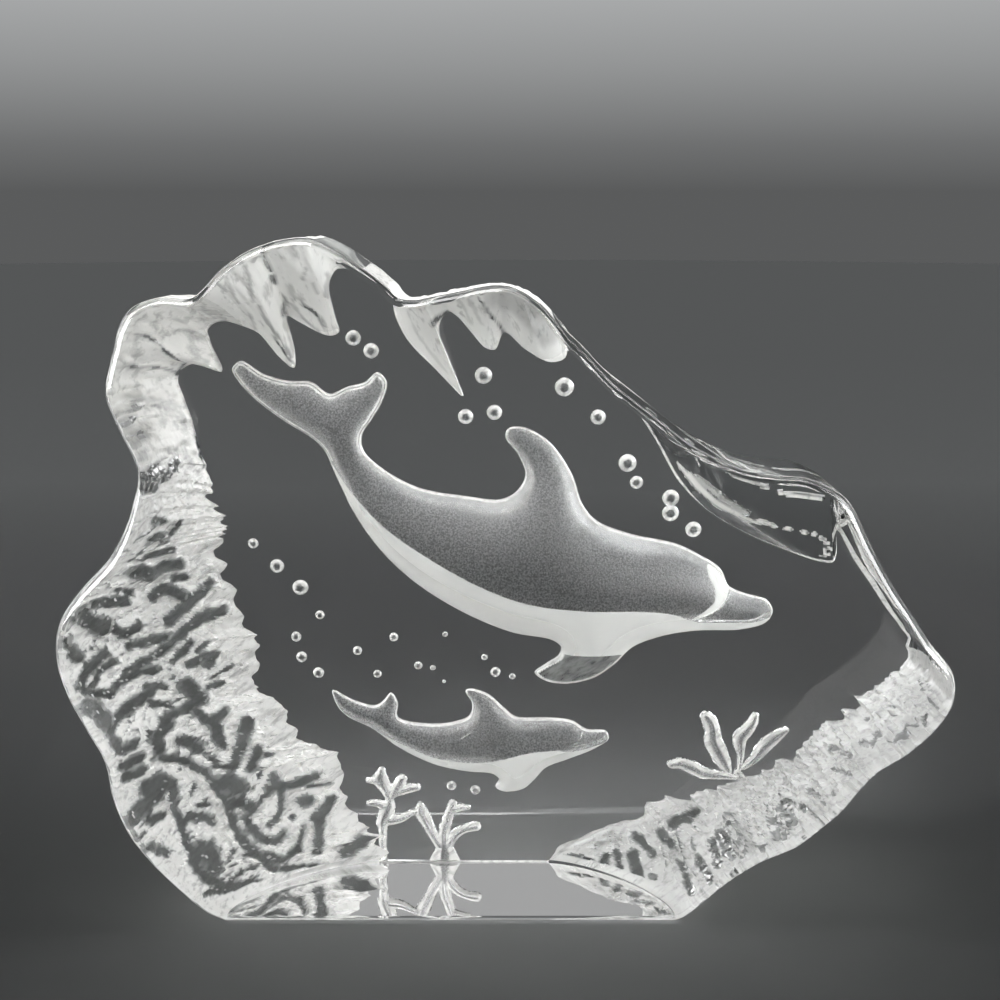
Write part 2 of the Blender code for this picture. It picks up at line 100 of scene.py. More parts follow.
class Slice(IntEnum):
    """The slices of the noise that each kind of roughness reads, so that none repeats another."""

    PAINTED_MARKS = 2
    BENDS = 3
    NICKS = 4
    FOLDS = 5
    PITS = 7
    TIPS = 9
    CELLS = 11


@dataclass(frozen=True)
class Zone:
    """How a stretch of the rim runs from the front outline to the back, and what is carved on it.

    Attributes:
        edge: thickness of the block at its outline, as a share of its depth.
        fullness: 1 slopes straight to the back, 2 is a quarter round, under 1 is a scoop.
        step: distance between the lines that the solid is built on, in millimetres.
        fineness: how many lines the piece has for each of the solid's.
        ridges: height of the coral's small ridges, in millimetres.
        folds: depth of the folds that run from the outline inwards, in millimetres.
        grit: depth of the fine roughness, in millimetres.
        frost: how much the surface scatters light, from 0 to 1.
        jag: how far the inner edge is broken, in millimetres.
        cells: how much of it has small pits between the ridges, from 0 to 1.
        glow_from: where a painted highlight, a frosted band along the slope, starts, as a share of
            the slope's length.
        glow_to: where it ends.
        back_line: width of the painted highlight, a frosted line, at the back's edge, as a share of
            the slope's length.
        dim: how much painted shade darkens its frosted parts, from 0 to 1.
        finish: the finish of its frosted parts.
    """

    edge: float
    fullness: float
    step: float
    fineness: int
    ridges: float = 0.0
    folds: float = 0.0
    grit: float = 0.0
    frost: float = 0.0
    jag: float = 0.0
    cells: float = 0.0
    glow_from: float = 0.7
    glow_to: float = 0.7
    back_line: float = 0.0
    dim: float = 0.0
    finish: Finish = Finish.RIM


CORAL = Zone(0.15, 1.5, 2.4, 5, ridges=0.8, folds=0.3, grit=0.3, frost=0.8, jag=2.6, cells=0.9)
# The shelf's frosted parts get painted shade
SHELF = Zone(0.15, 1.5, 2.4, 5, ridges=1.2, folds=1.1, grit=0.4, frost=0.9, jag=3.0, cells=0.9, dim=0.4)
ROCK = Zone(0.26, 1.5, 2.4, 4, folds=1.0, grit=0.12, frost=0.8, jag=0.2, finish=Finish.ROCK)
ICE = Zone(0.28, 1.3, 2.4, 3, folds=0.6, grit=0.06, frost=0.9, finish=Finish.ICE)
ROUND = Zone(0.62, 2.0, 5.0, 3, glow_from=0.40, glow_to=0.47, back_line=0.03)
FLUTE = Zone(0.42, 0.75, 5.0, 8, back_line=0.02, finish=Finish.ICE)
FLUTE_END = Zone(0.55, 1.0, 2.4, 4, back_line=0.025, finish=Finish.ICE)
WALL = Zone(0.80, 2.0, 5.0, 4, glow_from=0.50, glow_to=0.55, back_line=0.05)
BASE = Zone(0.15, 1.5, 8.0, 3)

# The rim, from the base's left end over the top to its right end. Each stretch has its zone and then its
# points: a point of the front outline, and the point of the flat back's edge that it runs to
RIM = (
    (CORAL, (-58, 0, -27.5, 0), (-62, 2, -27.6, 5), (-68.5, 8, -33.5, 9.7), (-74, 14.4, -37.2, 17.2),
     (-77.5, 20, -38.5, 25.4), (-79.9, 27, -45.5, 29), (-81.2, 35, -51, 37.2), (-84.7, 42.2, -56, 41.5),
     (-88, 49.5, -54.7, 50.4), (-89.6, 57.5, -57.9, 56), (-88.3, 64.5, -60, 65), (-84, 70.6, -62.2, 73.5),
     (-77.2, 78.2, -61.2, 77.9), (-72.9, 88, -63.5, 84)),
    (ROCK, (-71.7, 95.4, -64.9, 93), (-74.7, 103, -66.6, 101), (-77, 110.4, -69, 110),
     (-76, 115.4, -66, 112.4), (-75.1, 118.2, -59.9, 110.9), (-73.5, 123, -62, 117.2),
     (-71, 126.3, -62.3, 119.8), (-65.5, 128.3, -59.4, 121.4)),
    (ICE, (-59.6, 128.2, -55, 120.3), (-57, 130.2, -51.8, 118.8), (-54.5, 132.9, -47.6, 113.8),
     (-52.2, 134.7, -44.6, 111.5), (-50, 136.2, -44.3, 115.2), (-47.5, 137.5, -45.7, 122.4),
     (-45.5, 138.2, -43.3, 121.2), (-43.2, 138.9, -37.2, 118.3), (-41.5, 139.2, -35, 119),
     (-40, 139.4, -35.8, 122.8), (-38.3, 139.5, -36.8, 129)),
    (ROUND, (-36.2, 139.2, -34.9, 132.2), (-32.2, 137.2, -30.6, 131.2), (-27.2, 133.8, -26.6, 128.6)),
    (ICE, (-22.6, 130.3, -23.9, 125.9), (-20.6, 128.4, -23.1, 122.4), (-19.4, 128, -20.6, 117.4),
     (-18, 127.9, -14.4, 110.8), (-16.8, 127.9, -9, 105.5), (-15.8, 128.1, -12.9, 114.7),
     (-14.4, 128.4, -13.9, 120.4), (-12.5, 128.8, -12.2, 123.4), (-10.3, 129.2, -10, 122.2),
     (-8, 129.7, -7.4, 119.2), (-5.8, 130.2, -4.2, 115.7), (-3.8, 130.5, -2.2, 115.4),
     (-1.6, 130.7, -0.3, 119), (0.8, 130.4, 4, 115.5), (3.2, 129.4, 9.4, 112.7), (5.2, 128.1, 12.5, 113.6),
     (7, 126.6, 13, 116)),
    (ROUND, (9.2, 124.1, 13, 118.8), (12, 120.3, 15, 115.2), (15.3, 117.3, 18.5, 111.6),
     (20, 112.3, 23, 107), (25.3, 108, 27.6, 102.4), (30.3, 104, 31, 97.6)),
    (FLUTE, (35.3, 100.3, 33.4, 93.4), (40, 97.7, 37, 87.2), (46.7, 95, 43.2, 81), (53, 93.9, 51.5, 76),
     (58.5, 93.3, 60.2, 72.2)),
    (FLUTE_END, (63.3, 91.3, 67.6, 69.6), (65.8, 89.7, 70.7, 69.4), (67.6, 87.6, 71.4, 71.4),
     (69.2, 84.6, 71.3, 74)),
    (WALL, (71, 80.9, 71.3, 76.6), (76.7, 71, 75.2, 70), (80, 66.3, 78.6, 65.2), (84, 60.3, 82.5, 59.4),
     (89.4, 53.2, 87.5, 52.4)),
    (SHELF, (89.8, 47.5, 88, 46.8), (87.5, 43, 85.8, 43.8), (84.4, 39.4, 82.4, 40.4),
     (80.6, 36, 77.6, 37.6), (75, 32.2, 72.9, 33.4), (71.9, 28.7, 69.6, 29.8), (68.7, 24.4, 66.2, 25.9),
     (64.4, 20.3, 61, 22.8), (59.4, 16.2, 55, 19.4), (52.5, 13, 47, 16.6), (48.7, 10.6, 41, 15.3),
     (45, 7.8, 34.4, 14.2), (40.8, 4, 30, 10), (38.3, 1.8, 21.5, 7.2), (36.6, 0.6, 14.2, 3.6)),
    (BASE, (35, 0, 10.2, 0)),
)

# Pits of the coral: width, then points along the middle of each
PITS = (
    (1.5, (-72.5, 82), (-71, 81.5)), (1.7, (-70.5, 78), (-69, 80)),
    (1.7, (-74, 77), (-72.5, 78), (-71.5, 76.5)), (1.4, (-75.5, 73.5), (-73, 73.5), (-71, 73.5)),
    (2.9, (-78.5, 70.5), (-77, 70), (-75.5, 69)), (2.2, (-75, 69), (-72.5, 70), (-70, 70)),
    (1.7, (-71, 67), (-69, 67)), (2, (-85.5, 65), (-83.5, 65), (-80, 64)), (1.3, (-81, 67), (-79, 65.5)),
    (2.2, (-75, 64), (-73, 65), (-69.5, 63.5)), (2.3, (-72.5, 58), (-69.5, 60.5), (-66, 63.5), (-64, 65)),
    (3.1, (-87, 64), (-86, 61.5), (-84, 59.5)), (1.8, (-83.5, 61), (-80.5, 57), (-78, 58)),
    (2.2, (-70.5, 54.5), (-68, 56.5), (-64.5, 58.5), (-61.5, 59)),
    (1.7, (-79.5, 54), (-75.5, 54.5), (-73, 55)), (1.7, (-80, 49), (-77, 50.5), (-74, 52), (-71.5, 53.5)),
    (1.5, (-71.5, 49.5), (-69.5, 51), (-68, 53)), (1.7, (-68.5, 48), (-65, 49.5)),
    (2, (-65, 47.5), (-63.5, 49.5)), (1.3, (-61, 46), (-60, 46.5)),
    (2.6, (-89.5, 60.5), (-89, 57.5), (-88, 55)), (2.2, (-87.5, 49.5), (-86, 52), (-84, 54)),
    (1.5, (-85.5, 48.5), (-84.5, 50.5), (-82, 52)), (1.8, (-81.5, 47), (-79, 48.5), (-75, 48.5)),
    (1.8, (-86.5, 47.5), (-84.5, 46.5), (-82.5, 46)), (3.4, (-69.5, 43.5), (-68, 42), (-67, 40.5)),
    (1.1, (-65, 42.5), (-61.5, 43)), (1.5, (-76.5, 45), (-75, 45), (-73, 44.5)),
    (1.3, (-76.5, 42.5), (-74.5, 41), (-72.5, 40.5)), (3.6, (-86, 45), (-84.5, 43.5), (-83.5, 41.5)),
    (2.2, (-82, 39), (-81.5, 40.5), (-79.5, 42), (-76, 44)), (2, (-81.5, 37.5), (-80, 35), (-78, 35)),
    (2.6, (-74, 32), (-74, 35), (-72.5, 37)), (1.8, (-73, 38), (-71.5, 38.5), (-68.5, 39.5)),
    (2, (-67, 38), (-64.5, 35.5), (-61.5, 37)), (2.2, (-63.5, 34.5), (-62.5, 31.5)),
    (2.2, (-70, 33), (-68.5, 32), (-66.5, 30.5)), (2.9, (-58, 31.5), (-57, 34)),
    (2.2, (-59.5, 25.5), (-58.5, 29), (-57.5, 30)), (2, (-56, 24.5), (-54.5, 28)),
    (1.2, (-52.5, 26.5), (-51.5, 26.5)), (2, (-80, 31.5), (-77, 32)), (2, (-79.5, 29), (-76.5, 29)),
    (2.9, (-76, 25.5), (-74, 26), (-72, 25)), (3.1, (-77.5, 21.5), (-75.5, 22.5), (-73.5, 24.5)),
    (1.7, (-73.5, 30.5), (-70, 29), (-67, 27), (-64, 24), (-61.5, 20), (-59.5, 14.5), (-57.5, 10),
     (-53.5, 6), (-50.5, 3)),
    (3.6, (-61, 22.5), (-58.5, 21)), (2.3, (-59.5, 18), (-55.5, 16)), (2.3, (-52, 19.5), (-51, 21.5)),
    (1.8, (-50, 19.5), (-46, 20), (-42, 21.5)),
    (1.7, (-71, 24), (-70.5, 20), (-69, 15.5), (-67.5, 11.5), (-66, 8), (-63, 5), (-58, 2.5), (-53, 1.5)),
    (1.7, (-68, 17), (-65.5, 16.5), (-63.5, 15)), (3.6, (-65.5, 10.5), (-63.5, 9), (-63, 7)),
    (1.7, (-57, 14), (-55, 11), (-52, 8.5), (-49, 9.5)), (2.2, (-45, 15.5), (-44, 15.5)),
    (2.2, (-42, 5), (-41.5, 10.5), (-39, 15.5)), (1.7, (-53, 6), (-49, 4.5), (-46, 6)),
    (1.3, (-49, 2.5), (-45.5, 2), (-40.5, 1.5)), (2.6, (-78, 21.5), (-76.5, 18), (-74.5, 15)),
    (1.8, (-75, 19), (-73, 19)), (1.8, (-73, 13.5), (-71.5, 12.5)), (2.9, (-36, 3.5), (-33, 5), (-29, 6.5)),
    (1.5, (-64, 3.5), (-62.5, 3.5), (-58, 2), (-54, 1)), (1.9, (-57.6, 34), (-58.2, 31.7)),
    (1.4, (-54.9, 27.2), (-55.5, 25)), (1.1, (-57.5, 28.9), (-58.9, 25.2)),
    (0.8, (-53.4, 24), (-55.5, 19.9)), (1.9, (-51.3, 22.1), (-49.9, 19.7)),
    (1.3, (-49.7, 17.9), (-49.6, 15), (-50.5, 13), (-52.3, 11.7)),
    (0.8, (-43.9, 18.5), (-41.8, 18.7), (-38.6, 19)), (1.3, (-38.9, 15.7), (-41.2, 13.6), (-43.1, 11.5)),
    (1.4, (-41.5, 9.3), (-41.7, 5.6)), (1.1, (-47.5, 12.6), (-47.2, 11.9)),
    (1.1, (-45.1, 10.3), (-46, 6.6), (-47.5, 5.1), (-50, 4.4)), (0.8, (-45.2, 1.1), (-41.6, 1.2)),
    (0.9, (-68.3, 17.7), (-65.3, 17.2)), (0.9, (-65.4, 15.8), (-63.4, 14.6)),
    (0.8, (-67.7, 21.4), (-67, 23.6)), (0.8, (-65.8, 18.7), (-63.7, 18.9)),
    (0.9, (-67.1, 13.2), (-64.8, 11), (-63.5, 11.6)), (0.8, (-63.1, 8.3), (-61.6, 10)),
    (1.1, (-67, 10.9), (-66.1, 8.7)), (0.8, (-60.4, 6.7), (-58.9, 8.5)), (0.9, (-56.8, 7), (-54.7, 7.1)),
    (0.8, (-60.2, 3.5), (-57.6, 4.2), (-54.6, 4.5)), (1.7, (-63.4, 32.1), (-61.6, 30)),
    (0.9, (-65.5, 28.5), (-63.8, 27.2)), (1.1, (-63.4, 25.9), (-60.4, 25.6)),
    (0.9, (-58.7, 10.7), (-58.1, 11.9)), (0.8, (-54, 16.7), (-52.6, 18.5)),
    (0.8, (-75.1, 30.6), (-73.9, 32.1)), (0.9, (-81.9, 41.4), (-79.5, 41.3)),
    (0.8, (-77.5, 42), (-75.8, 43.2)), (0.8, (-85, 57.3), (-82.6, 58.4)), (0.8, (-71.9, 60), (-69.1, 62)),
    (0.8, (-67.1, 50.8), (-64.2, 52.3)), (0.8, (-64.1, 44.3), (-61.2, 45.8)),
    (0.9, (-77.8, 73.4), (-75.9, 74.6)), (1.7, (14, 1.5), (19, 1.5)), (2.2, (22.5, 3), (22, 1)),
    (1.8, (25.5, 4), (25, 1.5)), (2.6, (29, 4.5), (29, 1.5)), (1.8, (29.5, 7.5), (33, 5.5)),
    (2, (35, 8.5), (37, 7.5)), (2.2, (37.5, 11), (40.5, 12.5), (42.5, 13)),
    (1.5, (38.5, 5.5), (39, 4), (40, 2.5)), (2.2, (42, 7.5), (44, 6.5)), (2.2, (45, 10.5), (45.5, 9)),
    (3.1, (47.5, 12), (48, 10)), (1.7, (54.5, 14), (56, 14.5), (57.5, 15.5)), (2, (58, 16.5), (59, 15.5)),
    (2.2, (60.5, 18.5), (61.5, 17.5)), (1.7, (64, 20.5), (65.5, 21)), (1.7, (66, 22.5), (67.5, 23)),
    (1.3, (69, 25), (69.5, 25)), (1.7, (70.5, 28), (72, 29)), (1.7, (71, 30), (73, 31)),
    (1.8, (81.2, 36.6), (82.5, 37.7)), (1.4, (83.1, 38.3), (84.9, 40)), (0.9, (85.5, 40.6), (87, 42.4)),
    (1.5, (75.8, 33.3), (77.1, 34.1), (79.1, 35.3)), (0.9, (78.5, 35.7), (78, 35.2)),
)

# Painted shade in the creases of the ice and the rock, which are also carved a little: width, darkness, then
# points along the middle of each
PAINTED_MARKS = (
    (0.3, 0.8, (-73.5, 120.5), (-71.5, 119), (-70, 116.5), (-67.5, 113)),
    (0.4, 0.7, (-76, 114.5), (-75, 113.5), (-71.5, 112), (-69, 110)), (0.8, 0.8, (-68, 112.5), (-69, 110)),
    (0.3, 0.5, (-76, 108), (-74, 106.5), (-71, 105), (-69, 103.5)),
    (0.3, 0.5, (-73, 105), (-70.5, 103.5), (-68.5, 102)), (0.8, 0.7, (-75.5, 106), (-74.5, 105.5)),
    (0.7, 0.7, (-75, 104), (-74.5, 102)), (0.7, 0.8, (-74.5, 102), (-73.5, 101), (-73, 99.5)),
    (0.5, 0.3, (-73.5, 102.5), (-71.5, 103), (-69, 101.5)), (0.9, 0.5, (-68.5, 101.5), (-68, 99)),
    (0.6, 0.6, (-71, 94.5), (-70, 95), (-69, 95.5)), (0.7, 0.8, (-70.5, 93), (-71, 90.5), (-71.5, 89)),
    (0.7, 0.85, (-69.5, 94), (-70, 91.5), (-70.5, 90)), (0.6, 0.8, (-69, 94.5), (-69, 92), (-70, 90)),
    (0.7, 0.5, (-68, 95), (-66.5, 91.5)), (1.6, 0.9, (-71.5, 94), (-71.5, 92), (-72, 90)),
    (0.4, 0.9, (-68, 105), (-66.5, 101), (-65.5, 95.5), (-64.5, 90.5)),
    (0.5, 0.6, (-72.5, 98), (-72, 96.5)), (0.3, 0.4, (-68.5, 123), (-66.5, 122), (-65.5, 123)),
    (0.6, 0.4, (-68.5, 120), (-66, 120), (-65, 118.5), (-62, 117.5)),
    (0.8, 0.4, (-66.5, 117), (-64.5, 114.5), (-62.5, 113)),
    (0.5, 0.5, (-62, 117.5), (-60.5, 114), (-60, 112)),
    (0.5, 0.6, (-58.5, 121.5), (-62, 120), (-62.5, 118.5)),
    (0.3, 0.5, (-61, 126.5), (-62.5, 124.5), (-61, 122.5), (-59, 122.5)),
    (0.6, 0.45, (-54.5, 132.5), (-54.5, 130), (-54.5, 128.5), (-54, 126.5)),
    (0.5, 0.4, (-56, 130.5), (-55.5, 129)),
    (0.5, 0.5, (-51, 134), (-51, 131.5), (-51, 128.5), (-51, 126.5)),
    (0.3, 0.5, (-49.5, 135), (-48.5, 136), (-47.5, 136)),
    (0.4, 0.8, (-47, 137), (-47.5, 134.5), (-47, 133)), (0.4, 0.7, (-47, 131.5), (-47, 130)),
    (0.7, 0.35, (-48.5, 129.5), (-48.5, 127.5)), (0.6, 0.35, (-41.5, 137.5), (-41.5, 136)),
    (0.6, 0.5, (-40, 133), (-41, 131)), (0.9, 0.45, (-44, 129.5), (-43.5, 127), (-42, 126.5)),
    (0.4, 0.5, (-45.5, 125), (-43.5, 126.5)), (0.6, 0.7, (-45.5, 127), (-46, 125), (-46, 123)),
    (0.3, 0.6, (-50, 125.5), (-49, 122), (-47, 118.5), (-45, 114)),
    (0.4, 0.7, (-48, 118.5), (-46, 114.5), (-44.5, 112.5)),
    (0.4, 0.4, (-46, 123.5), (-45.5, 119.5), (-44.5, 115)), (0.3, 0.4, (-52.5, 123.5), (-52.5, 120)),
    (0.3, 0.7, (-42, 125.5), (-39.5, 123.5), (-38, 120.5)),
    (0.3, 0.4, (-44, 125), (-41.5, 121.5), (-39, 119)), (0.4, 0.4, (-39, 130), (-38.5, 128)),
    (0.4, 0.5, (-37, 131.5), (-37, 129), (-37, 127)), (1.6, 0.85, (-14.3, 122.5), (-12.6, 123)),
    (0.4, 0.8, (-5.5, 127.5), (-3.4, 124), (-1, 120.5), (-0.5, 118.5)),
    (4.5, 0.4, (-1, 127.5), (3.5, 125), (7, 121.5), (8.5, 119)), (0.5, 0.3, (-9.5, 127), (-7.5, 122)),
    (0.5, 0.3, (-7.5, 127.5), (-5, 121.5)), (0.5, 0.25, (-20, 124), (-17.5, 118), (-12.5, 111)),
)

# Painted highlights on the polished flute: frosted lines that stand in for reflections in its scoop. Width,
# brightness, then points along the middle of each
PAINTED_HIGHLIGHTS = (
    (0.8, 1, (36.7, 91.1), (39.2, 88.4), (40.5, 86.5)),
    (1.5, 1, (38.5, 89.4), (41.5, 86.1), (44.9, 83.5), (48.8, 81.4)),
    (0.8, 0.9, (46.8, 82.4), (51.8, 80), (53.9, 79.7)), (0.7, 1, (52.9, 80.4), (54.9, 79.7), (56.8, 78.8)),
    (1.7, 0.4, (40.2, 88.8), (44.4, 85.8), (50, 82.1)), (0.9, 1, (58.8, 78.4), (59.7, 78.2)),
    (0.9, 1, (62.6, 77.6), (63.2, 77.5)), (0.8, 1, (64.8, 77.2), (65.3, 77)),
    (0.8, 1, (66.4, 76.2), (66.8, 75.9)), (0.8, 1, (67.8, 74.9), (68.1, 74.5)),
    (0.8, 1, (68.9, 73.3), (69, 72.8)), (0.8, 1, (69, 71.8), (68.5, 71.2)),
    (0.5, 1, (55.8, 87.6), (59, 86.9), (62.5, 86.4), (65.3, 86)),
    (0.5, 0.7, (35.3, 99.5), (43.4, 93.3), (48.4, 90.8), (53.4, 88.9)),
)

# The dolphins' outlines, and the lines between back and belly
LARGE_DOLPHIN = (
    (-57.6, 111.3), (-55.7, 113), (-51, 110.2), (-46, 108.8), (-41, 108.5), (-37.2, 106), (-33.5, 107.5),
    (-29.7, 108.5), (-27, 110.6), (-25.1, 108.5), (-26, 104.7), (-28.5, 100.4), (-30.6, 97), (-30.2, 93.8),
    (-26, 89.7), (-18.5, 85.7), (-8.5, 83.9), (-1, 83.2), (2.4, 85), (4.2, 88.5), (2.7, 92.9), (0, 96.6),
    (0.5, 98.5), (3.4, 98.9), (9, 96), (14, 89.1), (16.5, 82.2), (19.6, 78.5), (26.5, 75.7), (36.5, 73.5),
    (41.5, 71.2), (46.5, 67.9), (48.4, 64.1), (52.1, 62.4), (56.7, 61), (58.1, 58.5), (56.7, 56),
    (51.5, 54.4), (41.5, 54.1), (34, 52.9), (27.7, 50.4), (24, 46.6), (19.6, 43.5), (14, 42), (9, 42.5),
    (6.4, 44.4), (9, 46.6), (11.7, 48.5), (12.1, 50.4), (10.2, 52), (1.5, 53.7), (-8.5, 57.9),
    (-18.5, 64.1), (-26, 71), (-32.2, 79.7), (-36, 87.9), (-38.7, 94.1), (-41, 96.4), (-47.2, 100.4),
    (-53.5, 105.4), (-56.6, 109.1),
)
LARGE_BELLY = (
    (-41.5, 97.5), (-38.7, 94), (-33.5, 86), (-26, 77.9), (-16, 71), (-6, 65.4), (4, 61.6), (16.5, 60),
    (29, 59.7), (36, 58.7), (41, 56.9), (48, 56.4), (54, 56.3), (59, 57.8),
)
SMALL_DOLPHIN = (
    (-38, 40.4), (-36.9, 36.6), (-34.5, 34.2), (-29.7, 31.8), (-23.5, 27.2), (-16, 23.4), (-8.5, 21.7),
    (-2.8, 21.1), (-1.4, 19.8), (-2.2, 17.9), (-0.4, 16.9), (4, 17.6), (6.6, 19.9), (9, 22.6), (14, 24.6),
    (19.6, 26.9), (22.9, 29.2), (22.2, 31), (17.9, 31.4), (14.6, 33.4), (10.2, 34), (2.1, 34.4),
    (-0.4, 36.4), (-4, 39.6), (-7.9, 40.7), (-8.8, 40.1), (-7.4, 37.4), (-7.9, 34.6), (-11, 33.2),
    (-16.5, 32.6), (-23.7, 34.2), (-23.7, 37.6), (-25.2, 39.8), (-26.8, 38), (-28.7, 36.9), (-33.5, 38.2),
)
SMALL_BELLY = (
    (-33, 33.5), (-30, 32), (-24, 29), (-16, 25.6), (-9, 24.6), (-3, 25), (1, 26), (5, 27), (11.3, 27.3),
    (14, 26.8), (19, 27.6), (24, 29),
)

# The light wedge between the forehead and the beak
FOREHEAD = (
    (43.4, 69.3), (45.6, 68), (48.2, 64.3), (46.4, 60.3), (43.2, 58.2), (39.9, 57.2), (43, 59.4),
    (45, 61.6), (45, 64.2), (43.6, 67),
)

# Engraved lines: width, then points
LARGE_LINES = (
    (0.5, (41.5, 56.9), (48, 56.7), (54, 56.9), (57.3, 58.8)),
    (0.4, (45.6, 68.2), (48.3, 63.8), (46.6, 60.2), (41, 57.1)),
)
SMALL_LINES = (
    (0.35, (15, 28.2), (18.5, 28.6), (22, 30)), (0.35, (16.8, 31.6), (16.4, 29.8), (14.6, 28.4)),
    (0.3, (-7.4, 31.6), (-9.6, 30.2)),
)

# Bubbles: across, up and radius
BUBBLES = (
    (-4.7, 109.9, 1.8), (-8.5, 101.1, 1.6), (-2.4, 102, 1.6), (12.4, 107.4, 2), (19.6, 101, 1.6),
    (26, 91.1, 1.9), (28, 86.9, 1.4), (35.4, 83.5, 1.8), (35.4, 80.2, 1.8), (40.4, 76.6, 1.7),
    (-32, 117.8, 1.6), (-28.3, 115.1, 1.6), (-54.4, 73.5, 1.1), (-49.4, 68.5, 1.5), (-44.5, 63.7, 1.7),
    (-40.4, 57.5, 1), (-45.7, 52.6, 1.1), (-44.6, 48, 1.2), (-41, 44.4, 1.2), (-32.4, 49.4, 1),
    (-28.1, 44.1, 0.9), (-24.4, 52.5, 1), (-2.2, 44.5, 1.1), (-12, 18.1, 1.1), (-6.7, 17.1, 1.1),
    (-19.1, 46, 0.9), (-15.9, 45.5, 0.6), (-13.2, 53.1, 0.6), (-13.5, 42.4, 0.4), (-4.6, 47.9, 0.7),
    (1.5, 43.5, 0.7),
)

# Branches of the coral sprigs and fronds of the weed: points along each as across, up and width
BRANCHES = (
    ((-27.1, -1, 1.5), (-27.5, 4.5, 1.8), (-27.4, 8.1, 2), (-27, 10.9, 2.6)),
    ((-27.4, 9.5, 2.9), (-26.5, 11.9, 3.3), (-25.8, 13.8, 2.4), (-25.8, 15.2, 1.4)),
    ((-26.9, 13.3, 2), (-28.7, 14, 1.8), (-30.5, 14, 1.1)),
    ((-25.8, 14.9, 1.4), (-26.6, 17.3, 2.6), (-27.7, 19.7, 3.3), (-27.5, 21.8, 1.5)),
    ((-26.9, 18, 2), (-28.8, 19.2, 1.8), (-30.6, 19.4, 1.1)),
    ((-25.3, 15.4, 1.2), (-24.2, 17.5, 2.4), (-23, 19.7, 2.2)),
    ((-24.6, 16.1, 1.2), (-22.2, 17.3, 2.2), (-19.7, 17.8, 1.8)),
    ((-26.1, 10, 2.6), (-23.4, 10.4, 2), (-21.1, 11.6, 1.4), (-19.8, 12.1, 1.4)),
    ((-13.6, -2.5, 8.4), (-13.6, 0.4, 6.2), (-13.6, 3.3, 3.8), (-13.8, 5.7, 2.6), (-13.5, 8.5, 2.4)),
    ((-18.9, 13.5, 1.5), (-18.7, 11.8, 2.9), (-17.6, 9.5, 2.6), (-16.2, 6.6, 2.2), (-14.7, 4, 2.2)),
    ((-13.5, 8, 2.2), (-12.6, 11.1, 2.2), (-11.7, 14, 1.8)),
    ((-12.2, 12.3, 2), (-9.9, 13, 1.8), (-8.3, 13, 1.1)),
    ((-12.7, 4.2, 2), (-11.1, 6.6, 2.2), (-8.8, 8, 2), (-6.6, 8.5, 2.4)),
    ((44.2, 34.4, 2.4), (45.1, 33, 3.3), (45.8, 31.2, 3.1), (45.9, 28.8, 3.8), (47, 26.5, 3.8),
     (48.2, 24.2, 3.3), (49.6, 21.8, 1.6)),
    ((36.9, 23.2, 2), (38.9, 23.4, 2.6), (41.4, 22.5, 2.9), (44.1, 21.1, 2.6), (47.2, 20.7, 2),
     (51, 20.2, 1.2)),
    ((55, 34.4, 1.8), (54.6, 33.1, 2.4), (53.5, 31.4, 2.9), (52, 29.6, 3.3), (51.9, 27.7, 2.6),
     (52.2, 25.4, 1.6), (52, 22.3, 1.2)),
    ((61.9, 31.2, 1.5), (60.6, 30.3, 2.4), (58.5, 28.6, 3.1), (56.8, 26.8, 3.1), (55.3, 24.7, 2.2),
     (52.9, 22.6, 1.4)),
    ((51.6, 21.4, 1.6), (53.5, 18.1, 2), (55.4, 14.8, 2.2)),
)


def smoothstep(value: np.ndarray | float) -> np.ndarray:
    """A rise from 0 to 1 with level ends."""
    value = np.clip(value, 0.0, 1.0)
    return value * value * (3.0 - 2.0 * value)


def dome(share: np.ndarray) -> np.ndarray:
    """The height of a round dome at shares of its radius: 1 at the middle, 0 at the edge and beyond."""
    return np.sqrt(np.clip(1 - share ** 2, 0.0, 1.0))


def row_lengths(rows: np.ndarray) -> np.ndarray:
    """The length of each row."""
    return np.linalg.norm(rows, axis=1)


def left_of(ahead: np.ndarray) -> np.ndarray:
    """The unit directions to the left of the given ones."""
    return np.stack([-ahead[:, 1], ahead[:, 0]], axis=1) / row_lengths(ahead)[:, None]


def curve_points(drawn: np.ndarray, steps: list[int]) -> np.ndarray:
    """Points on the centripetal Catmull-Rom curve through drawn points.

    Args:
        drawn: the points, with one more before the curve's start and one after its end.
        steps: how many steps each stretch between two points is cut into.

    Returns:
        One point for each step, from the second drawn point on.
    """
    path = []
    for i, count in enumerate(steps):
        before, start, end, after = drawn[i:i + 4]
        k1 = math.sqrt(np.linalg.norm(start - before))
        k2 = k1 + math.sqrt(np.linalg.norm(end - start))
        k3 = k2 + math.sqrt(np.linalg.norm(after - end))
        t = (k1 + np.arange(count) / count * (k2 - k1))[:, None]
        first = before + (start - before) * t / k1
        middle = start + (end - start) * (t - k1) / (k2 - k1)
        last = end + (after - end) * (t - k2) / (k3 - k2)
        early = first + (middle - first) * t / k2
        late = middle + (last - middle) * (t - k1) / (k3 - k1)
        path.append(early + (late - early) * (t - k1) / (k2 - k1))
    return np.concatenate(path)


def closed_curve(points: tuple, step: float) -> np.ndarray:
    """Points on the smooth closed curve through the drawn points.

    Args:
        points: the drawn points.
        step: about how far apart the curve's points are, in millimetres.

    Returns:
        A row for each point.
    """
    drawn = np.array(points, float)
    drawn = np.concatenate([drawn[-1:], drawn, drawn[:2]])
    reach = row_lengths(np.diff(drawn[1:-1], axis=0))
    return curve_points(drawn, [max(1, round(length / step)) for length in reach])


def open_curve(points: np.ndarray, steps: list[int]) -> np.ndarray:
    """The smooth curve through the points, with the given number of steps in each stretch."""
    drawn = np.concatenate([[2 * points[0] - points[1]], points, [2 * points[-1] - points[-2]]])
    return np.concatenate([curve_points(drawn, steps), points[-1:]])


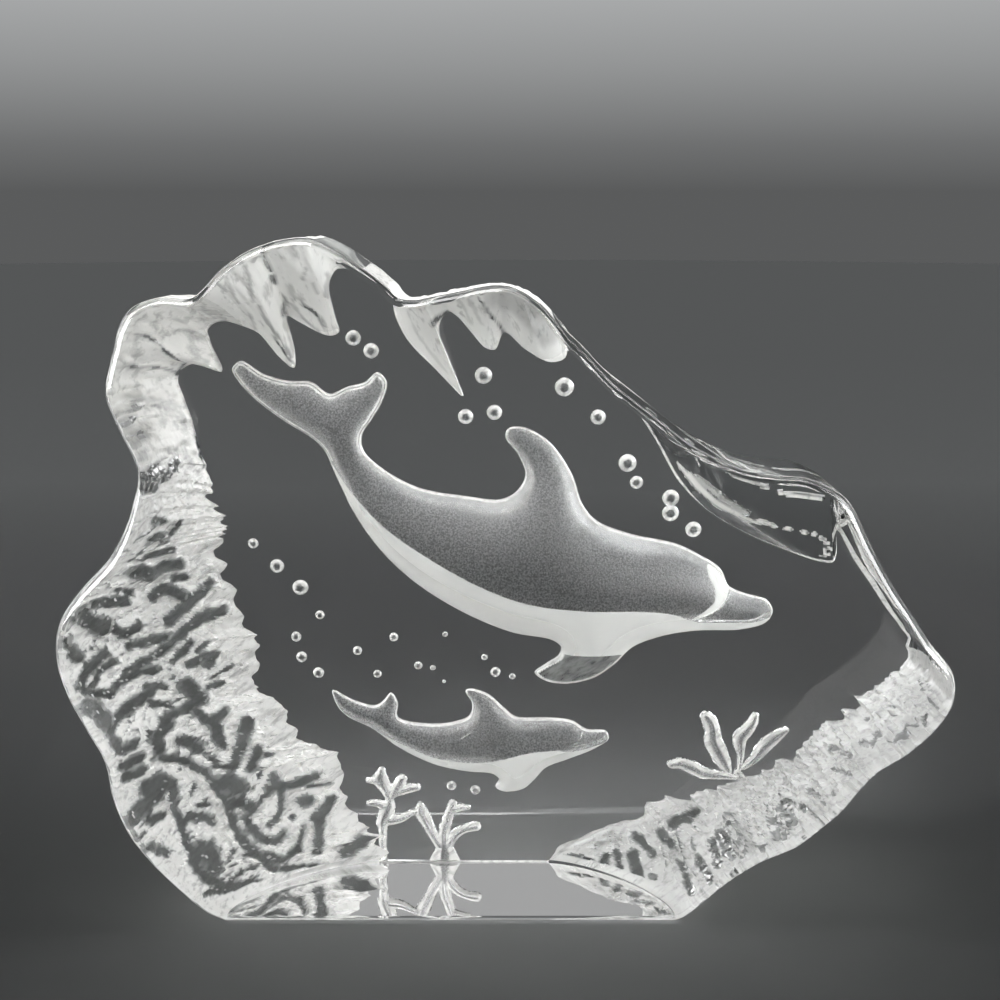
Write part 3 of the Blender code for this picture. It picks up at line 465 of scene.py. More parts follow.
def stroke(points: tuple, step: float, least: int = 1) -> np.ndarray:
    """Points about a step apart on the smooth open curve through the drawn points.

    Args:
        points: the drawn points, as across and up and perhaps a width.
        step: the distance between the points, in millimetres.
        least: the least steps in a stretch between two drawn points.

    Returns:
        A row for each point.
    """
    drawn = np.array(points, float)
    reach = row_lengths(np.diff(drawn[:, :2], axis=0))
    return open_curve(drawn, [max(least, round(length / step)) for length in reach])


def soften(values: list[float], reach: int) -> np.ndarray:
    """Each value of a closed ring averaged with its neighbours up to the reach."""
    return np.mean([np.roll(values, k) for k in range(-reach, reach + 1)], axis=0)


def distance_to(path: np.ndarray, points: np.ndarray, closed: bool = True) -> np.ndarray:
    """The distance from each point to a line of straight stretches.

    Args:
        path: the corners of the line.
        points: the points to measure from.
        closed: whether the last corner joins the first.

    Returns:
        One distance for each point.
    """
    near = path if closed else path[:-1]
    side = (np.roll(path, -1, axis=0) - path)[:len(near)]
    square = np.maximum((side ** 2).sum(axis=1), TINY_SQUARE)
    best = np.full(len(points), np.inf)
    for start, run, length in zip(near, side, square):
        away = points - start
        share = np.clip(away @ run / length, 0.0, 1.0)
        best = np.minimum(best, ((away - share[:, None] * run) ** 2).sum(axis=1))
    return np.sqrt(best)


def inside(outline: np.ndarray, points: np.ndarray) -> np.ndarray:
    """Which of the points lie inside a closed outline.

    Args:
        outline: the outline's points.
        points: the points to test.

    Returns:
        True or False for each point.
    """
    odd = np.zeros(len(points), bool)
    for near, far in zip(outline, np.roll(outline, -1, axis=0)):
        if near[1] != far[1]:
            spans = (near[1] > points[:, 1]) != (far[1] > points[:, 1])
            cross = near[0] + (far[0] - near[0]) * (points[:, 1] - near[1]) / (far[1] - near[1])
            odd ^= spans & (points[:, 0] < cross)
    return odd


def close_to(path: np.ndarray, points: np.ndarray, reach: float) -> np.ndarray:
    """The indices of the points in the path's box, widened by the reach."""
    low, high = path.min(axis=0) - reach, path.max(axis=0) + reach
    return np.flatnonzero(((points > low) & (points < high)).all(axis=1))


def staggered_grid(outline: np.ndarray, spacing: float) -> np.ndarray:
    """Points of a staggered grid inside an outline, at least half a spacing from it.

    Args:
        outline: the outline's points.
        spacing: the distance between neighbouring points.

    Returns:
        A row for each point.
    """
    low, high = outline.min(axis=0), outline.max(axis=0)
    row_height = spacing * math.sqrt(0.75)
    rows = []
    for row, z in enumerate(np.arange(low[1], high[1], row_height)):
        x = np.arange(low[0] + spacing / 2 * (row % 2), high[0], spacing)
        rows.append(np.stack([x, np.full(len(x), z)], axis=1))
    points = np.concatenate(rows)
    points = points[inside(outline, points)]
    return points[distance_to(outline, points) > spacing / 2]


def inner_rings(outline: np.ndarray, distances: tuple[float, ...], least: float = 0.97) -> np.ndarray:
    """Points that follow the outline inside it.

    Args:
        outline: the outline's points.
        distances: the distance of each ring from it.
        least: how near a ring may come to the outline's other stretches, as a share of its distance.

    Returns:
        A row for each point.
    """
    side = left_of(np.roll(outline, -1, axis=0) - np.roll(outline, 1, axis=0))
    kept = []
    for distance in distances:
        for sign in (-1, 1):
            ring = outline + side * distance * sign
            ring = ring[inside(outline, ring)]
            kept.append(ring[distance_to(outline, ring) > least * distance])
    return np.concatenate(kept)


def blown_height(points: np.ndarray, triangles: np.ndarray, free: np.ndarray, rounds: int = 600,
                 settled: float = 1e-14) -> np.ndarray:
    """The height of a film that is blown up over a flat outline, half round over a straight strip.

    Args:
        points: the mesh's points in the plane.
        triangles: three indices for each of its triangles.
        free: which points may rise; the others stay at zero.
        rounds: the most rounds of the search for the film's rest.
        settled: the unrest at which it ends.

    Returns:
        The height at each point.
    """
    count = len(points)
    weights, ends = [], []
    for k in range(3):
        a, b, c = triangles[:, k], triangles[:, (k + 1) % 3], triangles[:, (k + 2) % 3]
        u, v = points[b] - points[a], points[c] - points[a]
        cross = np.maximum(np.abs(u[:, 0] * v[:, 1] - u[:, 1] * v[:, 0]), TINY)
        weights.append((u * v).sum(axis=1) / cross / 2)
        ends.append(np.stack([b, c], axis=1))
        area = cross / 2
    weights, ends = np.concatenate(weights), np.concatenate(ends)
    load = sum(np.bincount(triangles[:, k], area / 3, count) for k in range(3))
    diagonal = sum(np.bincount(ends[:, k], weights, count) for k in range(2))
    diagonal = np.where(free, np.maximum(diagonal, TINY), 1.0)

    def pull(values: np.ndarray) -> np.ndarray:
        """The film's resistance.

        Args:
            values: a height for each point.

        Returns:
            The resistance at each point, which is zero where the film is held.
        """
        flow = weights * (values[ends[:, 0]] - values[ends[:, 1]])
        total = np.bincount(ends[:, 0], flow, count) - np.bincount(ends[:, 1], flow, count)
        return np.where(free, total, 0.0)

    height = np.zeros(count)
    left = np.where(free, load, 0.0)
    scaled = left / diagonal
    search = scaled.copy()
    energy = left @ scaled
    for _ in range(rounds):
        resisted = pull(search)
        step = energy / (search @ resisted)
        height += step * search
        left -= step * resisted
        scaled = left / diagonal
        after = left @ scaled
        if after < settled:
            break
        search = scaled + search * after / energy
        energy = after
    return np.sqrt(np.maximum(2 * height, 0.0))


def set_inputs(node: bpy.types.Node, inputs: dict) -> None:
    """Sets a node's inputs by name, with underscores for the spaces in their names."""
    for name, value in inputs.items():
        node.inputs[name.replace("_", " ")].default_value = value


def add_node(tree: bpy.types.NodeTree, kind: str, **inputs: float | tuple) -> bpy.types.Node:
    """Adds a shader node.

    Args:
        tree: the node tree to add to.
        kind: the node's type, without its prefix.
        inputs: values of its inputs.

    Returns:
        The new node.
    """
    node = tree.nodes.new("ShaderNode" + kind)
    set_inputs(node, inputs)
    return node


def new_material(name: str, **inputs: float | tuple) -> bpy.types.Material:
    """Makes a material.

    Args:
        name: the material's name.
        inputs: values of its shader's own inputs.

    Returns:
        The new material.
    """
    material = bpy.data.materials.new(name)
    material.use_nodes = True
    set_inputs(material.node_tree.nodes["Principled BSDF"], inputs)
    return material


def add_object(name: str, data: bpy.types.ID) -> bpy.types.Object:
    """Adds an object to the scene.

    Args:
        name: the object's name.
        data: its mesh, light or camera.

    Returns:
        The new object.
    """
    added = bpy.data.objects.new(name, data)
    bpy.context.scene.collection.objects.link(added)
    return added


@dataclass(frozen=True)
class CrystalFinish:
    """A finish of the crystal: how rough its surface is, and the grain on it.

    Attributes:
        name: the material's name.
        roughness: roughness of the surface, or where the frost is 1.
        transmission: share of the light that passes.
        color: the crystal's colour.
        grain: height of the grain's bumps, in millimetres.
        grain_size: size of the grain, in millimetres.
        smooth_roughness: roughness where the frost is 0; None for one roughness all over.
        shade: brightness of the darkest streaks and specks, as a share of the colour.
        shade_range: the noise values of the darkest and the lightest streaks.
        streak: size of the streaks along x, y and z before they lean, in millimetres.
        lean: how far the streaks lean up to the right, in degrees.
        ior: index of refraction; a low one keeps a deep pit see-through where it is steep.
    """

    name: str
    roughness: float
    transmission: float = 1.0
    color: tuple[float, float, float] = (1.0, 1.0, 1.0)
    grain: float = 0.0
    grain_size: float = 0.5
    smooth_roughness: float | None = None
    shade: float = 1.0
    shade_range: tuple[float, float] = (0.34, 0.50)
    streak: tuple[float, float, float] = (1.0, 1.0, 1.0)
    lean: float = 0.0
    ior: float = 1.55

    FROST = "frost"
    SHADE = "shade"
    # The colour that painted shade darkens towards, where the mesh's shade attribute is 1
    PAINTED_SHADE_COLOR = (0.04, 0.045, 0.045, 1.0)

    def add_frost(self, tree: bpy.types.NodeTree, shader: bpy.types.ShaderNode) -> None:
        """Lets the roughness follow the carving's frost.

        Args:
            tree: the material's nodes.
            shader: its shader.
        """
        frost = add_node(tree, "Attribute")
        frost.attribute_name = self.FROST
        ramp = add_node(tree, "MapRange", To_Min=self.smooth_roughness, To_Max=self.roughness)
        tree.links.new(frost.outputs["Fac"], ramp.inputs["Value"])
        tree.links.new(ramp.outputs["Result"], shader.inputs["Roughness"])

    def add_streaks(self, tree: bpy.types.NodeTree, shader: bpy.types.ShaderNode) -> None:
        """Gives the colour streaks, as stretched noise, and the painted shade that the mesh's shade attribute
        carries.

        Args:
            tree: the material's nodes.
            shader: its shader.
        """
        place = add_node(tree, "TexCoord")
        turned = add_node(tree, "Mapping", Rotation=(0.0, math.radians(-self.lean), 0.0),
                          Scale=[size * MM for size in self.streak])
        turned.vector_type = 'TEXTURE'
        streaks = add_node(tree, "TexNoise", Scale=1.0, Detail=3.0, Roughness=0.6)
        ramp = add_node(tree, "ValToRGB")
        dark, light = ramp.color_ramp.elements
        dark.position, light.position = self.shade_range
        dark.color = (*(value * self.shade for value in self.color), 1.0)
        light.color = (*self.color, 1.0)
        # Painted shade: the shade attribute mixes the painted shade colour into the base colour
        marks = add_node(tree, "Attribute")
        marks.attribute_name = self.SHADE
        painted_shade_mix = add_node(tree, "MixRGB", Color2=self.PAINTED_SHADE_COLOR)
        tree.links.new(place.outputs["Object"], turned.inputs["Vector"])
        tree.links.new(turned.outputs["Vector"], streaks.inputs["Vector"])
        tree.links.new(streaks.outputs["Fac"], ramp.inputs["Fac"])
        tree.links.new(marks.outputs["Fac"], painted_shade_mix.inputs["Fac"])
        tree.links.new(ramp.outputs["Color"], painted_shade_mix.inputs["Color1"])
        tree.links.new(painted_shade_mix.outputs["Color"], shader.inputs["Base Color"])

    def add_grain(self, tree: bpy.types.NodeTree, shader: bpy.types.ShaderNode) -> None:
        """Gives the surface its fine grain.

        Args:
            tree: the material's nodes.
            shader: its shader.
        """
        place = add_node(tree, "TexCoord")
        grain = add_node(tree, "TexNoise", Scale=1 / (self.grain_size * MM), Detail=2.0)
        bump = add_node(tree, "Bump", Distance=self.grain * MM)
        tree.links.new(place.outputs["Object"], grain.inputs["Vector"])
        tree.links.new(grain.outputs["Fac"], bump.inputs["Height"])
        tree.links.new(bump.outputs["Normal"], shader.inputs["Normal"])

    def material(self) -> bpy.types.Material:
        """Builds the finish's material.

        Returns:
            The new material.
        """
        material = new_material(self.name, Base_Color=(*self.color, 1.0), Roughness=self.roughness,
                                IOR=self.ior, Transmission_Weight=self.transmission)
        tree = material.node_tree
        shader = tree.nodes["Principled BSDF"]
        if self.smooth_roughness is not None:
            self.add_frost(tree, shader)
        if self.shade < 1:
            self.add_streaks(tree, shader)
        if self.grain:
            self.add_grain(tree, shader)
        return material


FINISHES = {
    Finish.CLEAR: CrystalFinish("polished_crystal", 0.0),
    Finish.RIM: CrystalFinish(
        "carved_crystal", 0.5, transmission=0.5, color=(1.0, 1.0, 0.97), grain=0.05, smooth_roughness=0.2,
        shade=0.55, streak=(4.0, 3.0, 0.9), lean=35.0),
    Finish.SATIN: CrystalFinish(
        "satin_crystal", 0.75, transmission=0.97, grain=0.09, grain_size=0.3, smooth_roughness=0.32,
        shade=0.18, shade_range=(0.42, 0.64), streak=(0.4, 0.4, 0.4)),
    Finish.MATTE: CrystalFinish("matte_crystal", 1.0, transmission=0.5, color=(0.92, 0.93, 0.9)),
    Finish.GLOSS: CrystalFinish("glossy_crystal", 0.03),
    Finish.SMOOTH: CrystalFinish("smooth_crystal", 0.03, color=(0.6, 0.62, 0.62), ior=1.05),
    Finish.PIT: CrystalFinish(
        "pit_crystal", 0.12, transmission=0.6, color=(0.95, 0.97, 0.95), shade=0.5, shade_range=(0.35, 0.6),
        streak=(3.0, 3.0, 0.8), lean=35.0, ior=1.08),
    Finish.ICE: CrystalFinish(
        "ice_crystal", 0.6, transmission=0.3, color=(1.0, 1.0, 0.97), grain=0.03, smooth_roughness=0.2,
        shade=0.6, shade_range=(0.3, 0.44), streak=(1.4, 6.0, 22.0), lean=12.0),
    Finish.ROCK: CrystalFinish(
        "rock_crystal", 0.5, transmission=0.45, color=(1.0, 1.0, 0.96), grain=0.03, smooth_roughness=0.15,
        shade=0.5, streak=(16.0, 5.0, 2.0), lean=-10.0),
}


@dataclass(frozen=True)
class Sheet:
    """The drawing sheet, fitted to the block's box in the frame.

    Attributes:
        low: the lowest corner of the block's box.
        high: the highest corner.
        left: the drawn outline's left end, in millimetres.
        right: its right end.
        top: its top.
    """

    low: Vector
    high: Vector
    left: float
    right: float
    top: float

    @property
    def depth(self) -> float:
        """The block's depth, in metres."""
        return self.high.y - self.low.y

    def place(self, drawn: np.ndarray, depth: np.ndarray | float = 0.0) -> np.ndarray:
        """The places in the block of drawn points.

        Args:
            drawn: points on the sheet, in millimetres.
            depth: how far each lies in front of the flat back, in metres.

        Returns:
            A row of x, y and z in metres for each point.
        """
        across = (drawn[:, 0] - self.left) / (self.right - self.left)
        x = self.low.x + across * (self.high.x - self.low.x)
        z = self.low.z + drawn[:, 1] / self.top * (self.high.z - self.low.z)
        return np.stack([x, np.broadcast_to(self.high.y - depth, x.shape), z], axis=1)

    def drawn(self, places: list[Vector]) -> np.ndarray:
        """The points on the sheet of places in the block.

        Args:
            places: the places, in metres.

        Returns:
            A row of across and up in millimetres for each.
        """
        width = self.high.x - self.low.x
        height = self.high.z - self.low.z
        return np.array([(
            self.left + (place.x - self.low.x) / width * (self.right - self.left),
            (place.z - self.low.z) / height * self.top,
        ) for place in places])

    def path(self, points: tuple, step: float) -> np.ndarray:
        """The curve through drawn points as x and z in the block, in millimetres."""
        return self.place(stroke(points, step))[:, (0, 2)] / MM


@dataclass
class PaintedMarks:
    """Painted strokes on the rim: painted shade in the creases of the ice and the rock, and painted
    highlights on the flute.

    Attributes:
        drawn: for each mark its width, its darkness and then the points of its middle line.
        widen: width over which a mark fades, as a share of its drawn width.
        narrowest: the least of that width, in millimetres.
        firmness: how soon a mark reaches its full darkness from its edge inwards.
        waver: how far a mark's edge wanders, in millimetres.
        waver_size: distance over which it wanders there and back.
        depth: depth of the darkest marks, in millimetres.
        spacing: distance between the points of a middle line.
        faintest: the least darkness that counts.
    """

    drawn: tuple = PAINTED_MARKS
    widen: float = 1.7
    narrowest: float = 1.1
    firmness: float = 1.4
    waver: float = 0.35
    waver_size: float = 1.4
    depth: float = 0.35
    spacing: float = 0.5
    faintest: float = 0.05

    def shade(self, sheet: Sheet, places: np.ndarray) -> np.ndarray:
        """How strong the painted strokes are at each point of the rim, from 0 to 1: for creases their painted
        shade, for the flute its painted highlights.

        Args:
            sheet: the fitted drawing sheet.
            places: the rim's points, as lines by rows, in metres.

        Returns:
            One value for each point.
        """
        points = places.reshape(-1, 3)[:, (0, 2)] / MM
        shade = np.zeros(len(points))
        for width, darkness, *drawn in self.drawn:
            path = sheet.path(drawn, self.spacing)
            half = max(width * self.widen, self.narrowest) / 2
            near = close_to(path, points, 2 * half)
            if len(near):
                waver = [noise.noise(Vector((x, z, Slice.PAINTED_MARKS)) / self.waver_size) for x, z in points[near]]
                away = distance_to(path, points[near], closed=False) + self.waver * np.array(waver)
                fade = smoothstep(self.firmness * (1 - away / half))
                shade[near] = np.maximum(shade[near], darkness * fade)
        return shade.reshape(places.shape[:2])


@dataclass
class Pits:
    """The coral's pits: glossy hollows with nearly level floors.

    Attributes:
        drawn: for each pit its width and then the points of its middle line, in millimetres on the sheet.
        widen: width of a pit at its rim, as a share of its drawn width.
        steepness: how much a fall of the rim counts in the distance from a pit's middle line.
        waver: how far its edge wanders, in millimetres.
        waver_size: distance over which it wanders there and back.
        levelling: how much of the rim's fall is levelled along a pit.
        deepest: the most that levelling cuts, in millimetres.
        bowl: depth that is cut square to the rim, as a share of half the width.
        edge: where a pit ends, as a share of half its width.
        edge_fade: width over which it ends there, as such a share.
        spacing: distance between the points of a middle line.
    """

    drawn: tuple = PITS
    widen: float = 1.65
    steepness: float = 0.4
    waver: float = 0.6
    waver_size: float = 1.7
    levelling: float = 0.5
    deepest: float = 3.2
    bowl: float = 0.75
    edge: float = 1.1
    edge_fade: float = 0.7
    spacing: float = 0.5

    def cut(self, sheet: Sheet, places: np.ndarray, into: np.ndarray) -> tuple[np.ndarray, np.ndarray]:
        """How far the pits move each point of the rim.

        Args:
            sheet: the fitted drawing sheet.
            places: the rim's points before carving, in metres.
            into: the direction into the crystal at each.

        Returns:
            A move in metres for each point, and how much it lies in a pit, from 0 to 1.
        """
        points = places.reshape(-1, 3) / MM
        flat = points[:, (0, 2)]
        inner = into.reshape(-1, 3)
        back_share = np.clip(-inner[:, 1], 0.0, 1.0)
        waver = np.array([noise.noise(Vector((x, z, Slice.PITS)) / self.waver_size) for x, z in flat])
        moves = np.zeros(points.shape)
        wet = np.zeros(len(points))
        for width, *drawn in self.drawn:
            path = sheet.path(drawn, self.spacing)
            half = width / 2
            near = close_to(path, flat, 2 * half)
            if not len(near):
                continue
            away = np.linalg.norm(flat[near][:, None] - path, axis=2)
            closest = away.argmin(axis=1)
            level = points[near][away.argmin(axis=0), 1]
            across = np.hypot(away.min(axis=1), self.steepness * (points[near, 1] - level[closest]))
            share = (across + self.waver * waver[near]) / half / self.widen
            level += (level.min() - level) * self.levelling
            fall = np.clip(points[near, 1] - level[closest], 0.0, self.deepest) * back_share[near]
            inside_pit = smoothstep((self.edge - share) / self.edge_fade)
            move = inner[near] * (self.bowl * half * dome(share))[:, None]
            move[:, 1] -= fall * inside_pit
            deeper = (move ** 2).sum(axis=1) > (moves[near] ** 2).sum(axis=1)
            moves[near[deeper]] = move[deeper]
            wet[near] = np.maximum(wet[near], inside_pit)
        return moves.reshape(places.shape) * MM, wet.reshape(places.shape[:2])


@dataclass
class Rim:
    """The carved rim, from the rounded edge of the front to the edge of the flat back.

    Attributes:
        lip: radius of the front's rounded edge, in metres.
        lip_rows: rows of points on that edge.
        rows: rows of points from the lip to the back.
        profile_steps: steps in which a line's run is worked out.
        base_margin: height over which the carving rises from the flat base, in metres.
        mitre_limit: the least cosine that the lip's mitre is worked out with.
        front_fade: share of the slope over which the carving rises from the lip.
        back_fade: share of the slope over which it ends at the back.
        tip_reach: how far the inner edge's tips reach beyond the drawn edge, as a share of its jag.
        tip_depth: how deep the notches between them are, as such a share.
        tip_size: distance between two tips, in millimetres.
        nick_depth: how deep the small nicks in the tips are, as a share of the jag.
        nick_size: distance between two nicks.
        narrowest: the least width of the rim.
        ridge_width: distance between the coral's small ridges, in millimetres.
        ridge_length: their length.
        ridge_lean: their lean, in degrees.
        ridge_bend: how far the lean wanders, in radians.
        bend_size: distance over which it wanders there and back.
        ridge_rise: how steeply a ridge rises from its grooves.
        cell_size: distance between two patches of small pits.
        cell_band: where these begin and end, as shares of the slope.
        cell_fade: share of the slope over which they do.
        cell_from: how deep a groove has to be to hold one.
        cell_rise: how much deeper it is in the middle of one.
        patch_from: the noise at which a patch begins.
        patch_fade: how much more it is in the middle of one.
        pit_calm: how much a pit smooths the roughness in it, from 0 to 1.
        pit_from: how full the carving has to be to hold a pit.
        painted_pit_shade: how much painted shade darkens the pits, from 0 to 1.
        see_through: how dark a mark has to be to be clear and not frosted.
        fold_width: distance between the folds that run inwards.
        fold_length: how far a fold keeps its form.
        fold_swing: how much the folds differ in depth.
        fold_middle: their middle depth, as a share of the zone's folds.
        grit_size: size of the fine roughness.
        grit_middle: its middle depth, as a share of the zone's grit.
        least: a roughness below this is left out, in millimetres.
        pits: the coral's pits.
        marks: painted shade in the creases of the ice and the rock, which are also carved a little.
        streaks: the painted highlights on the flute, frosted lines that stand in for reflections.
    """

    lip: float = 0.0016
    lip_rows: int = 5
    rows: int = 76
    profile_steps: int = 160
    base_margin: float = 0.0060
    mitre_limit: float = 0.7
    front_fade: float = 0.12
    back_fade: float = 0.06
    tip_reach: float = 0.6
    tip_depth: float = 2.0
    tip_size: float = 4.5
    nick_depth: float = 0.3
    nick_size: float = 1.1
    narrowest: float = 0.5
    ridge_width: float = 2.0
    ridge_length: float = 5.5
    ridge_lean: float = 35.0
    ridge_bend: float = 1.6
    bend_size: float = 14.0
    ridge_rise: float = 1.6
    cell_size: float = 8.0
    cell_band: tuple[float, float] = (0.05, 0.74)
    cell_fade: float = 0.1
    cell_from: float = 0.4
    cell_rise: float = 0.3
    patch_from: float = -0.3
    patch_fade: float = 0.25
    pit_calm: float = 0.85
    pit_from: float = 0.2
    painted_pit_shade: float = 0.8
    see_through: float = 0.6
    fold_width: float = 1.5
    fold_length: float = 11.0
    fold_swing: float = 0.9
    fold_middle: float = 0.5
    grit_size: float = 1.3
    grit_middle: float = 0.4
    least: float = 0.01
    pits: Pits = field(default_factory=Pits)
    marks: PaintedMarks = field(default_factory=PaintedMarks)
    streaks: PaintedMarks = field(default_factory=lambda: PaintedMarks(PAINTED_HIGHLIGHTS, widen=1.3, narrowest=1.0, waver=0.0))

    SOFTENING = {
        "edge": 3, "fullness": 3, "ridges": 2, "folds": 2, "grit": 2, "frost": 1, "jag": 1, "cells": 1,
        "glow_from": 2, "glow_to": 2, "back_line": 1, "dim": 2,
    }

    def lines(self) -> dict[str, np.ndarray]:
        """The rim's lines: their front and back points and how each runs between them.

        Returns:
            Arrays by name, each with one row for each line.
        """
        drawn = np.array([point for _, *points in RIM for point in points], float)
        stretches = [zone for zone, *points in RIM for _ in points][:-1]
        front, back = drawn[:, :2], drawn[:, 2:]
        reach = np.maximum(row_lengths(np.diff(front, axis=0)), row_lengths(np.diff(back, axis=0)))
        coarse = [max(1, round(length / zone.step)) for length, zone in zip(reach, stretches)]
        base_count = round(np.linalg.norm(front[-1] - front[0]) / BASE.step)
        zones = [zone for zone, count in zip(stretches, coarse) for _ in range(count)] + [BASE] * base_count
        fine = [count * zone.fineness for count, zone in zip(coarse, stretches)]
        base = np.arange(1, base_count * BASE.fineness)[:, None] / (base_count * BASE.fineness)
        lines = {
            "front": np.concatenate([open_curve(front, fine), front[-1] + (front[0] - front[-1]) * base]),
            "back": np.concatenate([open_curve(back, fine), back[-1] + (back[0] - back[-1]) * base]),
        }
        at = np.concatenate([i + np.arange(zone.fineness) / zone.fineness for i, zone in enumerate(zones)])
        for name, reach in self.SOFTENING.items():
            values = soften([getattr(zone, name) for zone in zones], reach)
            lines[name] = np.interp(at, np.arange(len(zones) + 1), np.append(values, values[0]))
        lines["finish"] = np.array([zones[int(share)].finish for share in at])
        return lines

    def profile(self, width: float, edge: float, fullness: float, depth: float) -> np.ndarray:
        """One line's run from the lip to the back.

        Args:
            width: how far it runs inward, in metres.
            edge: how far back its slope starts.
            fullness: the form of the slope, as in Zone.
            depth: the block's depth.

        Returns:
            A row for each step, as distances inward and backward.
        """
        angle = math.pi / 2 * np.arange(1, self.profile_steps + 1) / self.profile_steps
        inward = width * (1 - np.maximum(np.cos(angle), 0.0) ** (2 / fullness))
        backward = edge + (depth - edge) * np.sin(angle) ** (2 / fullness)
        return np.concatenate([[(0.0, self.lip), (0.0, edge)], np.stack([inward, backward], axis=1)])

    def evenly(self, run: np.ndarray) -> tuple[np.ndarray, np.ndarray, np.ndarray]:
        """Points at even distances along a run.

        Args:
            run: the run's points, as distances inward and backward.

        Returns:
            The points, the run's unit direction at each, and how far along the run each lies.
        """
        lengths = np.concatenate([[0.0], np.cumsum(row_lengths(np.diff(run, axis=0)))])
        target = np.linspace(0.0, lengths[-1], self.rows + 1)
        places = np.stack([np.interp(target, lengths, run[:, k]) for k in range(2)], axis=1)
        ahead = np.gradient(places, axis=0)
        return places, ahead / row_lengths(ahead)[:, None], target

    def lip_insets(self, front: np.ndarray) -> np.ndarray:
        """The steps inward that round the front's edge.

        Args:
            front: the points of the front outline, in metres.

        Returns:
            One step for each point.
        """
        ahead = np.roll(front, -1, axis=0) - front
        ahead /= row_lengths(ahead)[:, None]
        mean = ahead + np.roll(ahead, 1, axis=0)
        mean /= row_lengths(mean)[:, None]
        stretch = 1 / np.maximum((mean * ahead).sum(axis=1), self.mitre_limit)
        inward = np.stack([mean[:, 2], np.zeros(len(mean)), -mean[:, 0]], axis=1)
        return inward * (self.lip * stretch)[:, None]

    def ridge(self, x: float, z: float) -> float:
        """How deep the coral's small grooves are at a place.

        Args:
            x: how far the place lies to the right, in millimetres.
            z: its height.

        Returns:
            A depth from 0 on a ridge to 1 between two.
        """
        bend = self.ridge_bend * noise.noise(Vector((x / self.bend_size, z / self.bend_size, Slice.BENDS)))
        lean = math.radians(self.ridge_lean) + bend
        along = x * math.cos(lean) + z * math.sin(lean)
        across = z * math.cos(lean) - x * math.sin(lean)
        distances, _ = noise.voronoi(Vector((along / self.ridge_length, across / self.ridge_width, 0.0)))
        return min((distances[1] - distances[0]) * self.ridge_rise, 1.0)

    def tips(self, along: float) -> float:
        """How far the inner edge reaches in.

        Args:
            along: the distance along the outline, in millimetres.

        Returns:
            The reach, as a share of the zone's jag.
        """
        nick = noise.noise(Vector((along / self.nick_size, Slice.NICKS, Slice.TIPS)))
        notch = abs(noise.noise(Vector((along / self.tip_size, 0.0, Slice.TIPS))))
        return self.tip_reach - self.tip_depth * notch + self.nick_depth * nick

    def slope(self, sheet: Sheet) -> dict[str, np.ndarray]:
        """The rim before it is carved.

        Args:
            sheet: the fitted drawing sheet.

        Returns:
            Arrays of lines by rows: each point's place and the direction into the crystal, its distance down
            the slope in metres and as a share, its line's distance along the outline, and the lip's places.
        """
        lines = self.lines()
        front = sheet.place(lines["front"], sheet.depth)
        back = sheet.place(lines["back"])
        insets = self.lip_insets(front)
        along = np.cumsum(row_lengths(np.diff(lines["front"], axis=0, prepend=lines["front"][-1:])))
        backward = np.array([0.0, 1.0, 0.0])
        angle = math.pi / 2 * np.arange(self.lip_rows)[:, None] / self.lip_rows
        lip_inward, lip_backward = 1 - np.sin(angle), self.lip * (1 - np.cos(angle))
        found = {"place": [], "into": [], "down": [], "share": [], "lip": []}
        for i in range(len(front)):
            inward = (back[i] - front[i]) * (1, 0, 1)
            width = np.linalg.norm(inward)
            inward /= width
            width = max(width + lines["jag"][i] * self.tips(along[i]) * MM, self.narrowest * MM)
            run, ahead, down = self.evenly(self.profile(
                width, sheet.depth * lines["edge"][i], lines["fullness"][i], sheet.depth))
            found["lip"].append(front[i] + insets[i] * lip_inward + backward * lip_backward)
            found["place"].append(front[i] + inward * run[:, :1] + backward * run[:, 1:])
            found["into"].append(inward * ahead[:, 1:] - backward * ahead[:, :1])
            found["down"].append(down)
            found["share"].append(down / down[-1])
        arrays = {name: np.array(values) for name, values in found.items()}
        arrays["along"] = np.broadcast_to(along[:, None], arrays["down"].shape)
        for name in self.SOFTENING:
            arrays[name] = np.broadcast_to(lines[name][:, None], arrays["down"].shape)
        return arrays

    def grid(self, sheet: Sheet) -> tuple[np.ndarray, np.ndarray, np.ndarray, np.ndarray]:
        """The rim's points line by line, and the finish of each.

        Args:
            sheet: the fitted drawing sheet.

        Returns:
            Places in metres as lines by rows by 3, and as lines by rows how frosted each is, painted
            highlights included, how far in a pit, and how dark its painted shade is.
        """
        slope = self.slope(sheet)
        places, into, share = slope["place"], slope["into"], slope["share"]
        fade = smoothstep(share / self.front_fade) * smoothstep((1 - share) / self.back_fade)
        fade *= smoothstep(places[:, :, 2] / self.base_margin)
        cut, wet = self.pits.cut(sheet, places, into)
        # Painted shade in the creases of the ice and the rock
        shade = self.marks.shade(sheet, places)
        # Painted highlights on the flute: frosted where a streak lies
        streak = self.streaks.shade(sheet, places)
        grooves = np.zeros(wet.shape)
        rough = slope["ridges"] > self.least
        grooves[rough] = [self.ridge(x, z) for x, _, z in places[rough] / MM]
        sunk = self.carving(slope, grooves) * (1 - self.pit_calm * wet) + self.marks.depth * shade
        carved = places + (into * sunk[:, :, None] * MM + cut) * fade[:, :, None]
        wet = np.maximum(wet, self.cells(slope, grooves)) * (fade > self.pit_from)
        # Painted shade darkens the sides of the flute's painted highlights
        shade = np.where(streak > 0, 1 - streak, shade)
        # Painted highlights: frosted bands along the slope and at the back's edge stand in for reflections on
        # the polished rim
        painted_highlight = (share > slope["glow_from"]) & (share < slope["glow_to"])
        painted_highlight |= (share > 1 - slope["back_line"]) | (streak > self.streaks.faintest)
        lip = np.zeros(slope["lip"].shape[:2])
